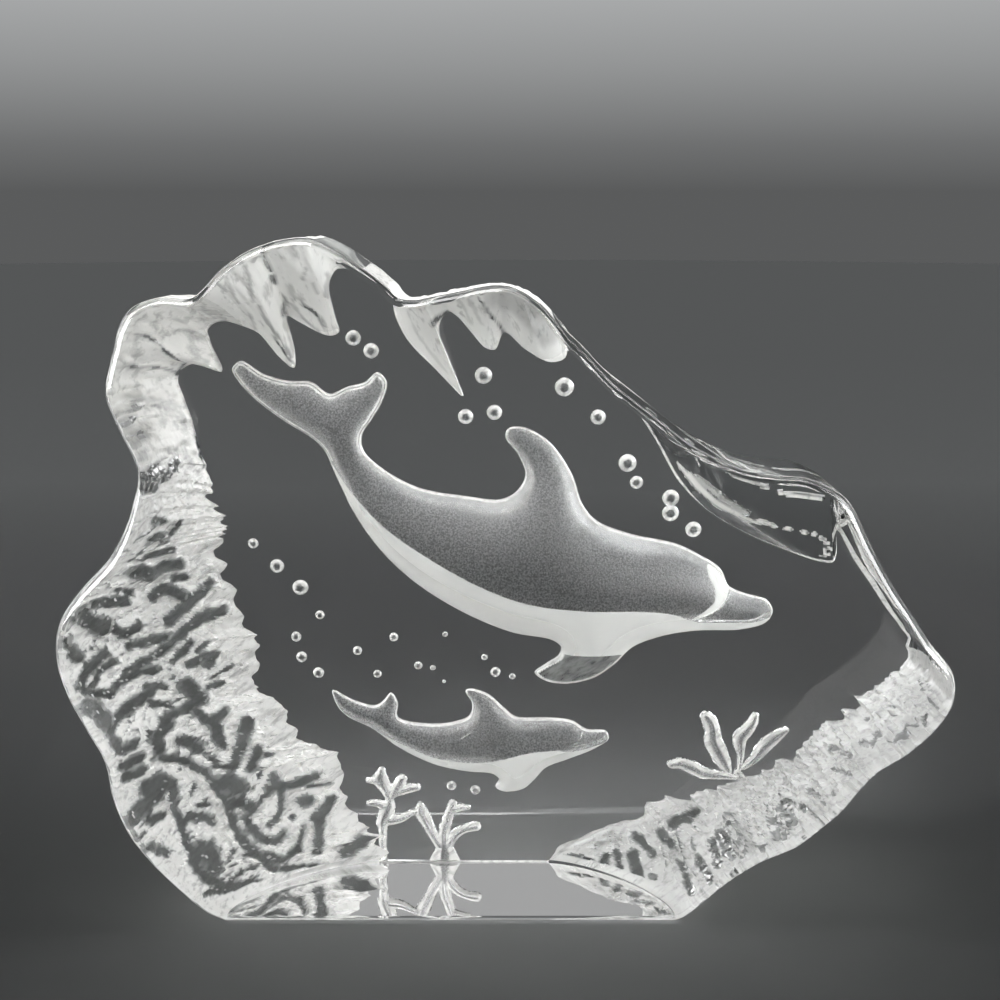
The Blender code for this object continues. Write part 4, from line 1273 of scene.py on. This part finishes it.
        # The last array is painted shade: in the creases, beside the flute's highlights, on the shelf and in
        # the pits
        return (
            np.concatenate([slope["lip"], carved], axis=1),
            np.concatenate([lip, np.maximum(slope["frost"], painted_highlight)], axis=1),
            np.concatenate([lip, np.maximum(wet, shade * (shade > self.see_through))], axis=1),
            np.concatenate([lip, np.maximum(np.maximum(shade, slope["dim"]), self.painted_pit_shade * wet)], axis=1),
        )

    def cells(self, slope: dict[str, np.ndarray], grooves: np.ndarray) -> np.ndarray:
        """How much each point lies in one of the small pits between the ridges.

        Args:
            slope: the rim before it is carved.
            grooves: how deep the small grooves are at each point, from 0 to 1.

        Returns:
            One value from 0 to 1 for each point.
        """
        places = slope["place"].reshape(-1, 3) / MM
        spread = np.array([
            noise.noise(Vector((x / self.cell_size, z / self.cell_size, Slice.CELLS))) for x, _, z in places])
        start, end = self.cell_band
        band = smoothstep((slope["share"] - start) / self.cell_fade)
        band *= smoothstep((end - slope["share"]) / self.cell_fade)
        patchy = smoothstep((spread.reshape(grooves.shape) - self.patch_from) / self.patch_fade)
        return smoothstep((grooves - self.cell_from) / self.cell_rise) * band * patchy * slope["cells"]

    def carving(self, slope: dict[str, np.ndarray], grooves: np.ndarray) -> np.ndarray:
        """How deep the ridges, folds and grit are.

        Args:
            slope: the rim before it is carved.
            grooves: how deep the small grooves are at each point, from 0 to 1.

        Returns:
            One depth in millimetres for each point.
        """
        sunk = slope["ridges"] * grooves
        folded = slope["folds"] > self.least
        along = slope["along"][folded] / self.fold_width
        down = slope["down"][folded] / MM / self.fold_length
        sunk[folded] += slope["folds"][folded] * [
            self.fold_swing * noise.noise(Vector((a, b, Slice.FOLDS))) + self.fold_middle
            for a, b in zip(along, down)]
        gritty = slope["grit"] > self.least
        sunk[gritty] += slope["grit"][gritty] * [
            noise.fractal(Vector(point) / self.grit_size, 1.0, 2.0, 2) + self.grit_middle
            for point in slope["place"][gritty] / MM]
        return sunk


@dataclass
class Figure:
    """A dolphin hollowed into the back.

    Attributes:
        drawn: points of its outline on the sheet.
        belly: points of the line between its satin back and its matte belly.
        swell: depth of the hollow, as a share of the height of a film blown over the outline.
        spacing: distance between the mesh's points, in millimetres.
        patches: pairs of a finish and the points of a closed line that it fills.
        lines: engraved lines: each one's width and then its points.
        flipper_below: height under which it is the flipper, which is clear inside a frosted edge.
        tail: middle and radius of the round area where the tail is frosted all over, in millimetres.
        wall: height of the upright wall at the outline, in millimetres.
        wall_run: how far the wall leans in over that height.
        frosted_edge: width of the frosted band along the outline, in millimetres.
        second_line: where a second frosted line runs along the tail's outline; the flipper's edge ends there.
        tail_frost: how frosted the tail is, from 0 to 1.
        tail_fade: width over which that fades, in millimetres.
        painted_flipper_shade: how much painted shade darkens the flipper, from 0 to 1.
        line_depth: depth of the engraved lines.
        line_step: distance between the points of an engraved line.
        line_shares: places of the rows across it, as shares of its width.
        outline: the smooth outline.
        belly_line: the smooth line between back and belly.
        patch_lines: the finish and the smooth outline of each patch.
        engraved: the width and the smooth line of each engraved line.
    """

    drawn: tuple
    belly: tuple
    swell: float
    spacing: float
    patches: tuple = ()
    lines: tuple = ()
    flipper_below: float = -1.0
    tail: tuple[float, float, float] = (0.0, 0.0, 0.0)
    wall: float = 0.5
    wall_run: float = 0.12
    frosted_edge: float = 0.3
    second_line: tuple[float, float] = (0.55, 0.9)
    tail_frost: float = 0.75
    tail_fade: float = 5.0
    painted_flipper_shade: float = 0.6
    line_depth: float = 0.25
    line_step: float = 0.4
    line_shares: tuple[float, ...] = (-0.5, -0.25, 0.0, 0.25, 0.5)
    outline: np.ndarray = field(init=False)
    belly_line: np.ndarray = field(init=False)
    patch_lines: list = field(init=False)
    engraved: list = field(init=False)

    OUTLINE_STEP = 0.8
    PATCH_STEP = 0.7
    NEAREST = 1e-3

    def __post_init__(self) -> None:
        """Works out the smooth lines, with steps that are shares of the spacing."""
        self.outline = closed_curve(self.drawn, self.spacing * self.OUTLINE_STEP)
        self.belly_line = stroke(self.belly, self.spacing)
        step = self.spacing * self.PATCH_STEP
        self.patch_lines = [(finish, closed_curve(points, step)) for finish, points in self.patches]
        self.engraved = [(width, stroke(points, self.line_step, least=2)) for width, *points in self.lines]

    def points(self) -> np.ndarray:
        """The points that the hollow's floor needs.

        Returns:
            A row for each point, in millimetres on the sheet.
        """
        rings = inner_rings(self.outline, (self.wall_run, self.frosted_edge, *self.second_line))
        middle = staggered_grid(self.outline, self.spacing)
        middle = middle[distance_to(self.outline, middle) > self.second_line[1] + self.spacing / 2]
        found = [rings, middle]
        for width, path in self.engraved:
            side = left_of(np.gradient(path, axis=0))
            found += [path + side * width * share for share in self.line_shares]
        found = np.concatenate(found)
        return found[self.holds(found)]

    def holds(self, points: np.ndarray) -> np.ndarray:
        """Which points lie well inside the outline.

        Args:
            points: the points to test.

        Returns:
            True or False for each point.
        """
        found = inside(self.outline, points)
        found[found] = distance_to(self.outline, points[found]) > self.NEAREST
        return found

    def depths(self, points: np.ndarray, triangles: np.ndarray) -> np.ndarray:
        """The hollow's depth at each point of the back.

        Args:
            points: all the points of the back's mesh.
            triangles: three indices for each of its triangles.

        Returns:
            One depth in millimetres for each point.
        """
        held = self.holds(points)
        mine = triangles[held[triangles].any(axis=1)]
        used = np.unique(mine)
        height = np.zeros(len(points))
        height[used] = blown_height(points[used], np.searchsorted(used, mine), held[used])
        depth = np.zeros(len(points))
        away = distance_to(self.outline, points[held])
        depth[held] = self.wall * smoothstep(away / self.wall_run / 2 + 0.5) + self.swell * height[held]
        for width, path in self.engraved:
            share = distance_to(path, points[held], closed=False) / (width / 2)
            depth[held] += self.line_depth * dome(share)
        return depth

    def finish(self, centres: np.ndarray) -> np.ndarray:
        """The finish of each face of the hollow.

        Args:
            centres: the faces' centres.

        Returns:
            One finish for each face.
        """
        line = np.interp(centres[:, 0], self.belly_line[:, 0], self.belly_line[:, 1], left=-math.inf)
        found = np.where(centres[:, 1] < line, int(Finish.MATTE), int(Finish.SATIN))
        for finish, patch in self.patch_lines:
            found[inside(patch, centres)] = finish
        found[centres[:, 1] < self.flipper_below] = Finish.RIM
        found[self.in_flipper(centres)] = Finish.PIT
        away = distance_to(self.outline, centres)
        start, end = self.second_line
        lined = (self.tail_share(centres) > 0) & (away > start) & (away < end)
        found[(away < self.frosted_edge) | lined] = Finish.RIM
        return found

    def in_flipper(self, points: np.ndarray) -> np.ndarray:
        """Which points lie in the flipper, inside its frosted edge."""
        away = distance_to(self.outline, points)
        return (points[:, 1] < self.flipper_below) & (away > self.second_line[1] - self.wall_run)

    def tail_share(self, points: np.ndarray) -> np.ndarray:
        """How much each point lies in the tail.

        Args:
            points: the points to measure.

        Returns:
            One value from 0 to 1 for each point.
        """
        across, up, radius = self.tail
        away = np.hypot(points[:, 0] - across, points[:, 1] - up)
        return smoothstep((radius - away) / self.tail_fade)


@dataclass
class Bubbles:
    """Round dents in the back.

    Attributes:
        drawn: each bubble's place across and up and its radius, in millimetres.
        depth_share: depth of a dent, as a share of its radius.
        sides: points round the edge of a dent.
        fewest: the least points on a ring inside it.
        satin_share: radius of the satin spot in its middle, as a share of its radius.
        dent_end: where the dent ends, as such a share.
        ring_shares: radii of the rings of points, as such shares.
    """

    drawn: tuple = BUBBLES
    depth_share: float = 0.6
    sides: int = 26
    fewest: int = 8
    satin_share: float = 0.5
    dent_end: float = 0.999
    ring_shares: tuple[float, ...] = (0.25, 0.5, 0.75, 0.9, 1.0)

    def points(self) -> np.ndarray:
        """The points that the dents need.

        Returns:
            A row for each point, in millimetres on the sheet.
        """
        found = []
        for x, z, radius in self.drawn:
            found.append([(x, z)])
            for share in self.ring_shares:
                count = max(self.fewest, round(self.sides * share))
                angle = np.arange(count) * 2 * math.pi / count
                ring = radius * share
                found.append(np.stack([x + ring * np.cos(angle), z + ring * np.sin(angle)], axis=1))
        return np.concatenate(found)

    def share(self, points: np.ndarray) -> np.ndarray:
        """How far each point lies from the nearest bubble's middle, as a share of that bubble's radius."""
        return np.min([np.hypot(points[:, 0] - x, points[:, 1] - z) / r for x, z, r in self.drawn], axis=0)

    def depths(self, points: np.ndarray) -> np.ndarray:
        """The dents' depth.

        Args:
            points: the points of the back's mesh.

        Returns:
            One depth in millimetres for each point.
        """
        depth = np.zeros(len(points))
        for x, z, radius in self.drawn:
            away = np.hypot(points[:, 0] - x, points[:, 1] - z) / radius
            dent = self.depth_share * radius * dome(away)
            depth = np.maximum(depth, np.where(away < self.dent_end, dent, 0.0))
        return depth


@dataclass
class Branches:
    """Round grooves in the back: the coral sprigs and the weed.

    Attributes:
        drawn: points along the middle of each branch, as across, up and width in millimetres.
        depth: depth of the grooves.
        spacing: distance between the points along a branch.
        merge: distance under which points are merged.
        fan: directions in which points are set round a branch's end.
        rib: height of the rib along a branch's middle.
        satin_share: half width of the satin strip there, as a share of the branch's half width.
        row_shares: places of the rows of points beside the middle, as such shares.
        paths: the smooth middle lines, with the width at each point.
    """

    drawn: tuple = BRANCHES
    depth: float = 1.3
    spacing: float = 0.35
    merge: float = 0.12
    fan: int = 9
    rib: float = 0.35
    satin_share: float = 0.33
    row_shares: tuple[float, ...] = (0.2, 0.4, 0.7, 0.9, 1.0, 1.12)
    paths: list = field(init=False)

    def __post_init__(self) -> None:
        """Works out each branch's path and widths."""
        self.paths = [stroke(branch, self.spacing, least=2) for branch in self.drawn]

    def points(self) -> np.ndarray:
        """The points that the grooves need: rows that follow each branch, and fans round its two ends.

        Returns:
            A row for each point, in millimetres on the sheet.
        """
        found = []
        for path in self.paths:
            middle, half = path[:, :2], path[:, 2:] / 2
            ahead = np.gradient(middle, axis=0)
            side = left_of(ahead)
            ahead /= row_lengths(ahead)[:, None]
            found.append(middle)
            for share in self.row_shares:
                found += [middle + side * half * share, middle - side * half * share]
                for end, out in ((0, -1), (-1, 1)):
                    for turn in np.linspace(-math.pi / 2, math.pi / 2, self.fan)[1:-1]:
                        spoke = ahead[end] * out * math.cos(turn) + side[end] * math.sin(turn)
                        found.append((middle[end] + spoke * half[end] * share)[None])
        found = np.round(np.concatenate(found) / self.merge) * self.merge
        return np.unique(found, axis=0)

    def share(self, points: np.ndarray) -> np.ndarray:
        """How far each point lies from the nearest branch's middle.

        Args:
            points: the points to measure.

        Returns:
            A share of the branch's half width there for each point.
        """
        best = np.full(len(points), np.inf)
        for x, z, width in np.concatenate(self.paths):
            best = np.minimum(best, np.hypot(points[:, 0] - x, points[:, 1] - z) / (width / 2))
        return best

    def depths(self, points: np.ndarray) -> np.ndarray:
        """The depth of the grooves, which are round with a rib along the middle.

        Args:
            points: the points of the back's mesh.

        Returns:
            One depth in millimetres for each point.
        """
        share = self.share(points)
        rib = self.rib * smoothstep(1 - share / self.satin_share)
        return self.depth * dome(share) - rib


@dataclass
class Net:
    """Points on the sheet, and the lines between them that a mesh has to keep.

    Attributes:
        points: groups of points.
        links: pairs of points, by their place in all the groups.
        count: how many points there are.
    """

    points: list[np.ndarray] = field(default_factory=list)
    links: list[tuple[int, int]] = field(default_factory=list)
    count: int = 0

    def add(self, line: np.ndarray, closed: bool = True) -> None:
        """Adds a line's points, each linked to the next.

        Args:
            line: the points.
            closed: whether the last joins the first.
        """
        size = len(line)
        steps = range(size if closed else size - 1)
        self.links += [(self.count + k, self.count + (k + 1) % size) for k in steps]
        self.points.append(line)
        self.count += size


@dataclass
class Block:
    """The crystal block: front, carved rim and hollowed back, in one closed mesh.

    Attributes:
        rim: the carved rim.
        large: the large dolphin.
        small: the small dolphin.
        bubbles: the bubbles.
        branches: the coral sprigs and the weed.
        edge_margin: how far the hollows keep from the rim, in millimetres.
        edge_level: how much of the back stays level beside it, as a share of twice that margin.
        frosted_above: how much frost makes a face of the rim frosted.
        pit_above: how far in a pit a face of the rim has to be to be clear.
        painted_glints_above: the noise above which a face in a pit is frosted white, as one of the painted
            glints.
        painted_glint_size: size of the painted glints, in millimetres.
        sharp_angle: the angle between two faces from which their edge is sharp, in radians.
        bright_band: width of the frosted band inside a figure's outline, in millimetres.
        painted_edge_highlight: width of the frosted line along the back's bottom edge, a painted highlight.
        edge_inset: how far that line's own edge keeps from the rim.
        merge: distance under which points of the back are one.
    """

    rim: Rim = field(default_factory=Rim)
    large: Figure = field(default_factory=lambda: Figure(
        LARGE_DOLPHIN, LARGE_BELLY, swell=0.68, spacing=0.65, patches=((Finish.MATTE, FOREHEAD),),
        lines=LARGE_LINES, flipper_below=49.3, tail=(-42.0, 108.0, 17.0)))
    small: Figure = field(default_factory=lambda: Figure(
        SMALL_DOLPHIN, SMALL_BELLY, swell=0.8, spacing=0.5, lines=SMALL_LINES, line_depth=0.15))
    bubbles: Bubbles = field(default_factory=Bubbles)
    branches: Branches = field(default_factory=Branches)
    edge_margin: float = 0.25
    edge_level: float = 0.2
    frosted_above: float = 0.35
    pit_above: float = 0.5
    painted_glints_above: float = 0.93
    painted_glint_size: float = 0.6
    sharp_angle: float = math.radians(40.0)
    bright_band: float = 3.0
    painted_edge_highlight: float = 0.35
    edge_inset: float = 1.0
    merge: float = 1e-5

    NAME = "carved_block"
    FLAT = 1e-6

    def sheet(self) -> Sheet:
        """The sheet, fitted to the solid's box."""
        front = self.rim.lines()["front"]
        return Sheet(*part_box(NODE), left=front[:, 0].min(), right=front[:, 0].max(), top=front[:, 1].max())

    def build(self) -> bpy.types.Object:
        """Builds the block as one object with a material for each finish.

        Returns:
            The block.
        """
        sheet = self.sheet()
        bm = bmesh.new()
        self.add_back(bm, self.add_rim(bm, sheet), sheet)
        bmesh.ops.recalc_face_normals(bm, faces=bm.faces)
        if bm.calc_volume(signed=True) < 0:
            bmesh.ops.reverse_faces(bm, faces=bm.faces)
        for face in bm.faces:
            if all(vert.co.z < self.FLAT for vert in face.verts):
                face.material_index = Finish.CLEAR
        mesh = bpy.data.meshes.new(self.NAME)
        bm.to_mesh(mesh)
        bm.free()
        for finish in Finish:
            mesh.materials.append(FINISHES[finish].material())
        mesh.set_sharp_from_angle(angle=self.sharp_angle)
        for polygon in mesh.polygons:
            polygon.use_smooth = polygon.material_index != Finish.CLEAR
        return add_object(self.NAME, mesh)

    def add_rim(self, bm: bmesh.types.BMesh, sheet: Sheet) -> list:
        """Makes the rim and the flat front.

        Args:
            bm: the mesh to add to.
            sheet: the fitted drawing sheet.

        Returns:
            The points at the back's edge, in order.
        """
        places, frost, wet, shade = self.rim.grid(sheet)
        frost_layer = bm.verts.layers.float.new(CrystalFinish.FROST)
        shade_layer = bm.verts.layers.float.new(CrystalFinish.SHADE)
        count, rows = frost.shape
        grid = bmesh.ops.create_grid(bm, x_segments=rows - 1, y_segments=count - 1, size=1.0)["verts"]
        for vert, place, value, darkness in zip(grid, places.reshape(-1, 3), frost.ravel(), shade.ravel()):
            vert.co = place
            vert[frost_layer] = value
            vert[shade_layer] = darkness
        first, last = grid[:rows], grid[-rows:]
        for k in range(rows - 1):
            bm.faces.new((last[k], last[k + 1], first[k + 1], first[k]))
        in_pit = dict(zip(grid, wet.ravel()))
        finishes = dict(zip(grid, np.repeat(self.rim.lines()["finish"], rows)))
        row_of = dict(zip(grid, np.tile(np.arange(rows), count)))
        for face in bm.faces:
            if sum(in_pit[vert] for vert in face.verts) / len(face.verts) > self.pit_above:
                middle = face.calc_center_median() / MM
                # Painted glints: a few faces in the pits are frosted white in place of sparkles of reflected
                # light
                painted_glint = noise.cell(middle / self.painted_glint_size) > self.painted_glints_above
                face.material_index = Finish.RIM if painted_glint else Finish.PIT
            elif sum(vert[frost_layer] for vert in face.verts) / len(face.verts) > self.frosted_above:
                face.material_index = int(finishes[face.verts[0]])
            elif min(row_of[vert] for vert in face.verts) < self.rim.lip_rows:
                face.material_index = Finish.GLOSS
            else:
                face.material_index = Finish.SMOOTH
        bm.faces.new(grid[::rows])
        return grid[rows - 1::rows]

    def net(self, rim: np.ndarray) -> Net:
        """The points that the back's mesh needs, and the lines that it keeps.

        Args:
            rim: the points at the back's edge, on the sheet.

        Returns:
            The net, which starts with the rim.
        """
        figures = (self.large, self.small)
        net = Net()
        for loop in (rim, self.large.outline, self.small.outline):
            net.add(loop)
        for figure in figures:
            net.add(figure.belly_line, closed=False)
            for _, patch in figure.patch_lines:
                net.add(patch)
        foot = rim[rim[:, 1] < self.painted_edge_highlight, 0]
        ends = (foot.min() + self.edge_inset, foot.max() - self.edge_inset)
        net.add(np.array([(x, self.painted_edge_highlight) for x in ends]), closed=False)
        free = np.concatenate([self.bubbles.points(), self.branches.points()])
        free = free[inside(rim, free)]
        net.points.append(free[distance_to(rim, free) > self.edge_margin])
        net.points += [figure.points() for figure in figures]
        return net

    def add_back(self, bm: bmesh.types.BMesh, edge: list, sheet: Sheet) -> None:
        """Fills the back with its flat field and its hollows.

        Args:
            bm: the mesh that holds the rim.
            edge: the rim's last points, in order.
            sheet: the fitted drawing sheet.
        """
        rim = sheet.drawn([vert.co for vert in edge])
        net = self.net(rim)
        cloud = [Vector(point) for point in np.concatenate(net.points)]
        found, _, faces, origins, _, _ = delaunay_2d_cdt(cloud, net.links, [], 1, self.merge)
        plane = np.array([tuple(point) for point in found])
        triangles = np.array(faces)
        depth = np.maximum(self.bubbles.depths(plane), self.branches.depths(plane))
        depth *= smoothstep(distance_to(rim, plane) / (2 * self.edge_margin) - self.edge_level)
        frost = np.zeros(len(plane))
        shade = np.zeros(len(plane))
        for figure in (self.large, self.small):
            depth = np.maximum(depth, figure.depths(plane, triangles))
            own = inside(figure.outline, plane)
            band = 1 - smoothstep(distance_to(figure.outline, plane[own]) / self.bright_band)
            frost[own] = np.maximum(band, figure.tail_frost * figure.tail_share(plane[own]))
            # Painted shade darkens the flipper inside its frosted edge
            shade[own] = figure.painted_flipper_shade * figure.in_flipper(plane[own])
        frost_layer = bm.verts.layers.float[CrystalFinish.FROST]
        shade_layer = bm.verts.layers.float[CrystalFinish.SHADE]
        verts = []
        for place, origin, value, darkness in zip(sheet.place(plane, depth * MM), origins, frost, shade):
            shared = [edge[index] for index in origin if index < len(edge)]
            verts.append(shared[0] if shared else bm.verts.new(place))
            if not shared:
                verts[-1][frost_layer] = value
                verts[-1][shade_layer] = darkness
        finish = self.back_finish(plane[triangles].mean(axis=1), (depth[triangles] > self.FLAT).any(axis=1))
        for triangle, slot in zip(triangles, finish):
            face = bm.faces.new([verts[k] for k in triangle])
            face.material_index = int(slot)
            face.smooth = slot != Finish.CLEAR

    def back_finish(self, centres: np.ndarray, carved: np.ndarray) -> np.ndarray:
        """The finish of each face of the back.

        Args:
            centres: the faces' centres on the sheet, in millimetres.
            carved: which of them are carved.

        Returns:
            One finish for each face.
        """
        finish = np.where(carved, int(Finish.GLOSS), int(Finish.CLEAR))
        # Painted highlight: a frosted line along the back's bottom edge
        finish[centres[:, 1] < self.painted_edge_highlight] = Finish.RIM
        for shapes in (self.bubbles, self.branches):
            share = shapes.share(centres)
            near = carved & (share < 1.0)
            finish[near] = np.where(share[near] < shapes.satin_share, int(Finish.SATIN), int(Finish.RIM))
        for figure in (self.large, self.small):
            own = inside(figure.outline, centres)
            finish[own] = figure.finish(centres[own])
        return finish


@dataclass(frozen=True)
class Panel:
    """A soft panel of light.

    Attributes:
        name: where it stands.
        place: its middle, in metres.
        size: its width and height.
        brightness: its radiance; 1 shows as white.
    """

    name: str
    place: tuple[float, float, float]
    size: tuple[float, float]
    brightness: float


PANELS = (
    Panel("back_left", (-0.95, 0.75, 0.42), (0.8, 0.4), 2.0),
    Panel("back_right", (0.95, 0.75, 0.42), (0.8, 0.4), 1.5),
    Panel("back_low", (0.0, 1.1, 0.62), (1.2, 0.30), 0.3),
    Panel("side_left", (-1.0, 0.05, 0.32), (0.6, 0.5), 2.5),
    Panel("side_right", (1.0, 0.05, 0.32), (0.6, 0.5), 1.0),
    Panel("front_left", (-0.85, -0.65, 0.42), (0.6, 0.5), 8.0),
    Panel("front_right", (0.85, -0.65, 0.42), (0.6, 0.5), 10.5),
    Panel("low_left", (-0.75, -0.75, 0.14), (0.6, 0.26), 16.0),
    Panel("low_right", (0.75, -0.75, 0.14), (0.6, 0.26), 18.0),
    Panel("front_up", (-0.3, -0.8, 0.9), (0.8, 0.6), 12.0),
    Panel("top", (0.0, 0.1, 1.05), (0.9, 0.7), 3.0),
)


@dataclass
class Studio:
    """A pale floor, soft panels of light and the camera.

    Attributes:
        distance: how far the camera stands in front of the block's front, in metres.
        height: the camera's height above the floor.
        across: how far it stands to the right of the block's middle.
        pitch: how far it looks down, in degrees.
        lens: focal length, in millimetres.
        sensor: width of the camera's sensor.
        nearest: the nearest that the camera sees, in metres.
        aim: the point that the panels face.
        panels: the panels, which light the block alone.
        surround: brightness of the surround, by the sine of the height above the horizon.
        surround_tint: its tint.
        floor_radius: radius of the floor, in metres.
        floor_sides: how many sides it has.
        floor_gap: how far it lies under the block, so that the two never share a plane.
        painted_floor_shade: brightness of the floor by the distance behind the block's middle, in metres,
            with
        painted shade near the block.
        floor_tint: its tint.
    """

    distance: float = 0.280
    height: float = 0.148
    across: float = -0.0014
    pitch: float = 11.84
    lens: float = 53.03
    sensor: float = 36.0
    nearest: float = 0.01
    aim: tuple[float, float, float] = (0.0, 0.0, 0.07)
    panels: tuple[Panel, ...] = PANELS
    surround: tuple = ((0.0, 0.105), (0.03, 0.16), (0.08, 0.30), (0.13, 0.42), (0.3, 0.12), (0.5, 0.08))
    surround_tint: tuple[float, float, float] = (0.98, 1.0, 1.01)
    floor_radius: float = 3.0
    floor_sides: int = 96
    floor_gap: float = 0.0004
    painted_floor_shade: tuple = ((0.0, 0.27), (0.12, 0.4), (0.45, 0.95), (1.0, 0.9))
    floor_tint: tuple[float, float, float] = (0.98, 1.0, 1.0)

    def camera(self, front: float) -> None:
        """Sets the camera in front of the block.

        Args:
            front: where the block's front face lies along y, in metres.
        """
        camera = bpy.data.cameras.new("camera")
        camera.lens = self.lens
        camera.sensor_width = self.sensor
        camera.clip_start = self.nearest
        holder = add_object("camera", camera)
        holder.location = (self.across, front - self.distance, self.height)
        holder.rotation_euler = (math.radians(90 - self.pitch), 0.0, 0.0)
        bpy.context.scene.camera = holder

    def light(self, block: bpy.types.Object) -> None:
        """Adds the panels, and links them to the block, so that the floor stays in even, low light.

        Args:
            block: the block, which they light alone.
        """
        lit = bpy.data.collections.new("lit_by_panels")
        lit.objects.link(block)
        for panel in self.panels:
            light = bpy.data.lights.new(panel.name, 'AREA')
            light.shape = 'RECTANGLE'
            light.size, light.size_y = panel.size
            light.energy = math.pi * light.size * light.size_y * panel.brightness
            holder = add_object(panel.name, light)
            holder.location = panel.place
            holder.rotation_euler = (Vector(self.aim) - holder.location).to_track_quat('-Z', 'Y').to_euler()
            holder.light_linking.receiver_collection = lit

    def tones(self, tree: bpy.types.NodeTree, stops: tuple, axis: str, tint: tuple) -> bpy.types.NodeSocket:
        """A colour that changes along one axis of the object's own coordinates.

        Args:
            tree: the node tree to add to.
            stops: pairs of a place along the axis, from 0 to 1, and a brightness.
            axis: the axis.
            tint: the colour's tint.

        Returns:
            The socket that gives the colour.
        """
        place = add_node(tree, "TexCoord")
        split = add_node(tree, "SeparateXYZ")
        ramp = add_node(tree, "ValToRGB")
        elements = ramp.color_ramp.elements
        while len(elements) < len(stops):
            elements.new(0.5)
        for element, (at, value) in zip(elements, stops):
            element.position = at
            element.color = (*(value * share for share in tint), 1.0)
        tree.links.new(place.outputs["Object"], split.inputs["Vector"])
        tree.links.new(split.outputs[axis], ramp.inputs["Fac"])
        return ramp.outputs["Color"]

    def floor(self) -> bpy.types.Object:
        """Makes the pale floor, with painted shade near the block.

        Returns:
            The floor.
        """
        bm = bmesh.new()
        bmesh.ops.create_circle(bm, cap_ends=True, segments=self.floor_sides, radius=self.floor_radius)
        mesh = bpy.data.meshes.new("floor")
        bm.to_mesh(mesh)
        bm.free()
        material = new_material("floor_paint", Roughness=0.7, Specular_IOR_Level=0.2)
        tree = material.node_tree
        # Painted shade: the floor is darkest near the block and pale far behind it
        color = self.tones(tree, self.painted_floor_shade, "Y", self.floor_tint)
        tree.links.new(color, tree.nodes["Principled BSDF"].inputs["Base Color"])
        mesh.materials.append(material)
        mesh.transform(Matrix.Translation((0.0, 0.0, -self.floor_gap)))
        return add_object("floor", mesh)

    def world(self) -> None:
        """A soft grey surround, brightest a little above the horizon."""
        world = bpy.data.worlds.new("surround")
        world.use_nodes = True
        tree = world.node_tree
        color = self.tones(tree, self.surround, "Z", self.surround_tint)
        tree.links.new(color, tree.nodes["Background"].inputs["Color"])
        bpy.context.scene.world = world

    def build(self, front: float, block: bpy.types.Object) -> None:
        """Sets up the whole studio.

        Args:
            front: where the block's front face lies along y, in metres.
            block: the block.
        """
        self.camera(front)
        self.world()
        self.floor()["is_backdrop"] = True
        self.light(block)
        bpy.context.scene.view_settings.view_transform = 'Standard'


def main() -> None:
    """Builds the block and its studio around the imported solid."""
    logging.basicConfig(level=logging.INFO, format="%(message)s")
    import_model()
    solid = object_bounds()
    block = Block().build()
    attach(block, "root")
    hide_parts(NODE)
    LOG.info("%s: %d triangles", block.name, sum(len(face.vertices) - 2 for face in block.data.polygons))
    Studio().build(solid[0].y, block)


if __name__ == "__main__":
    main()
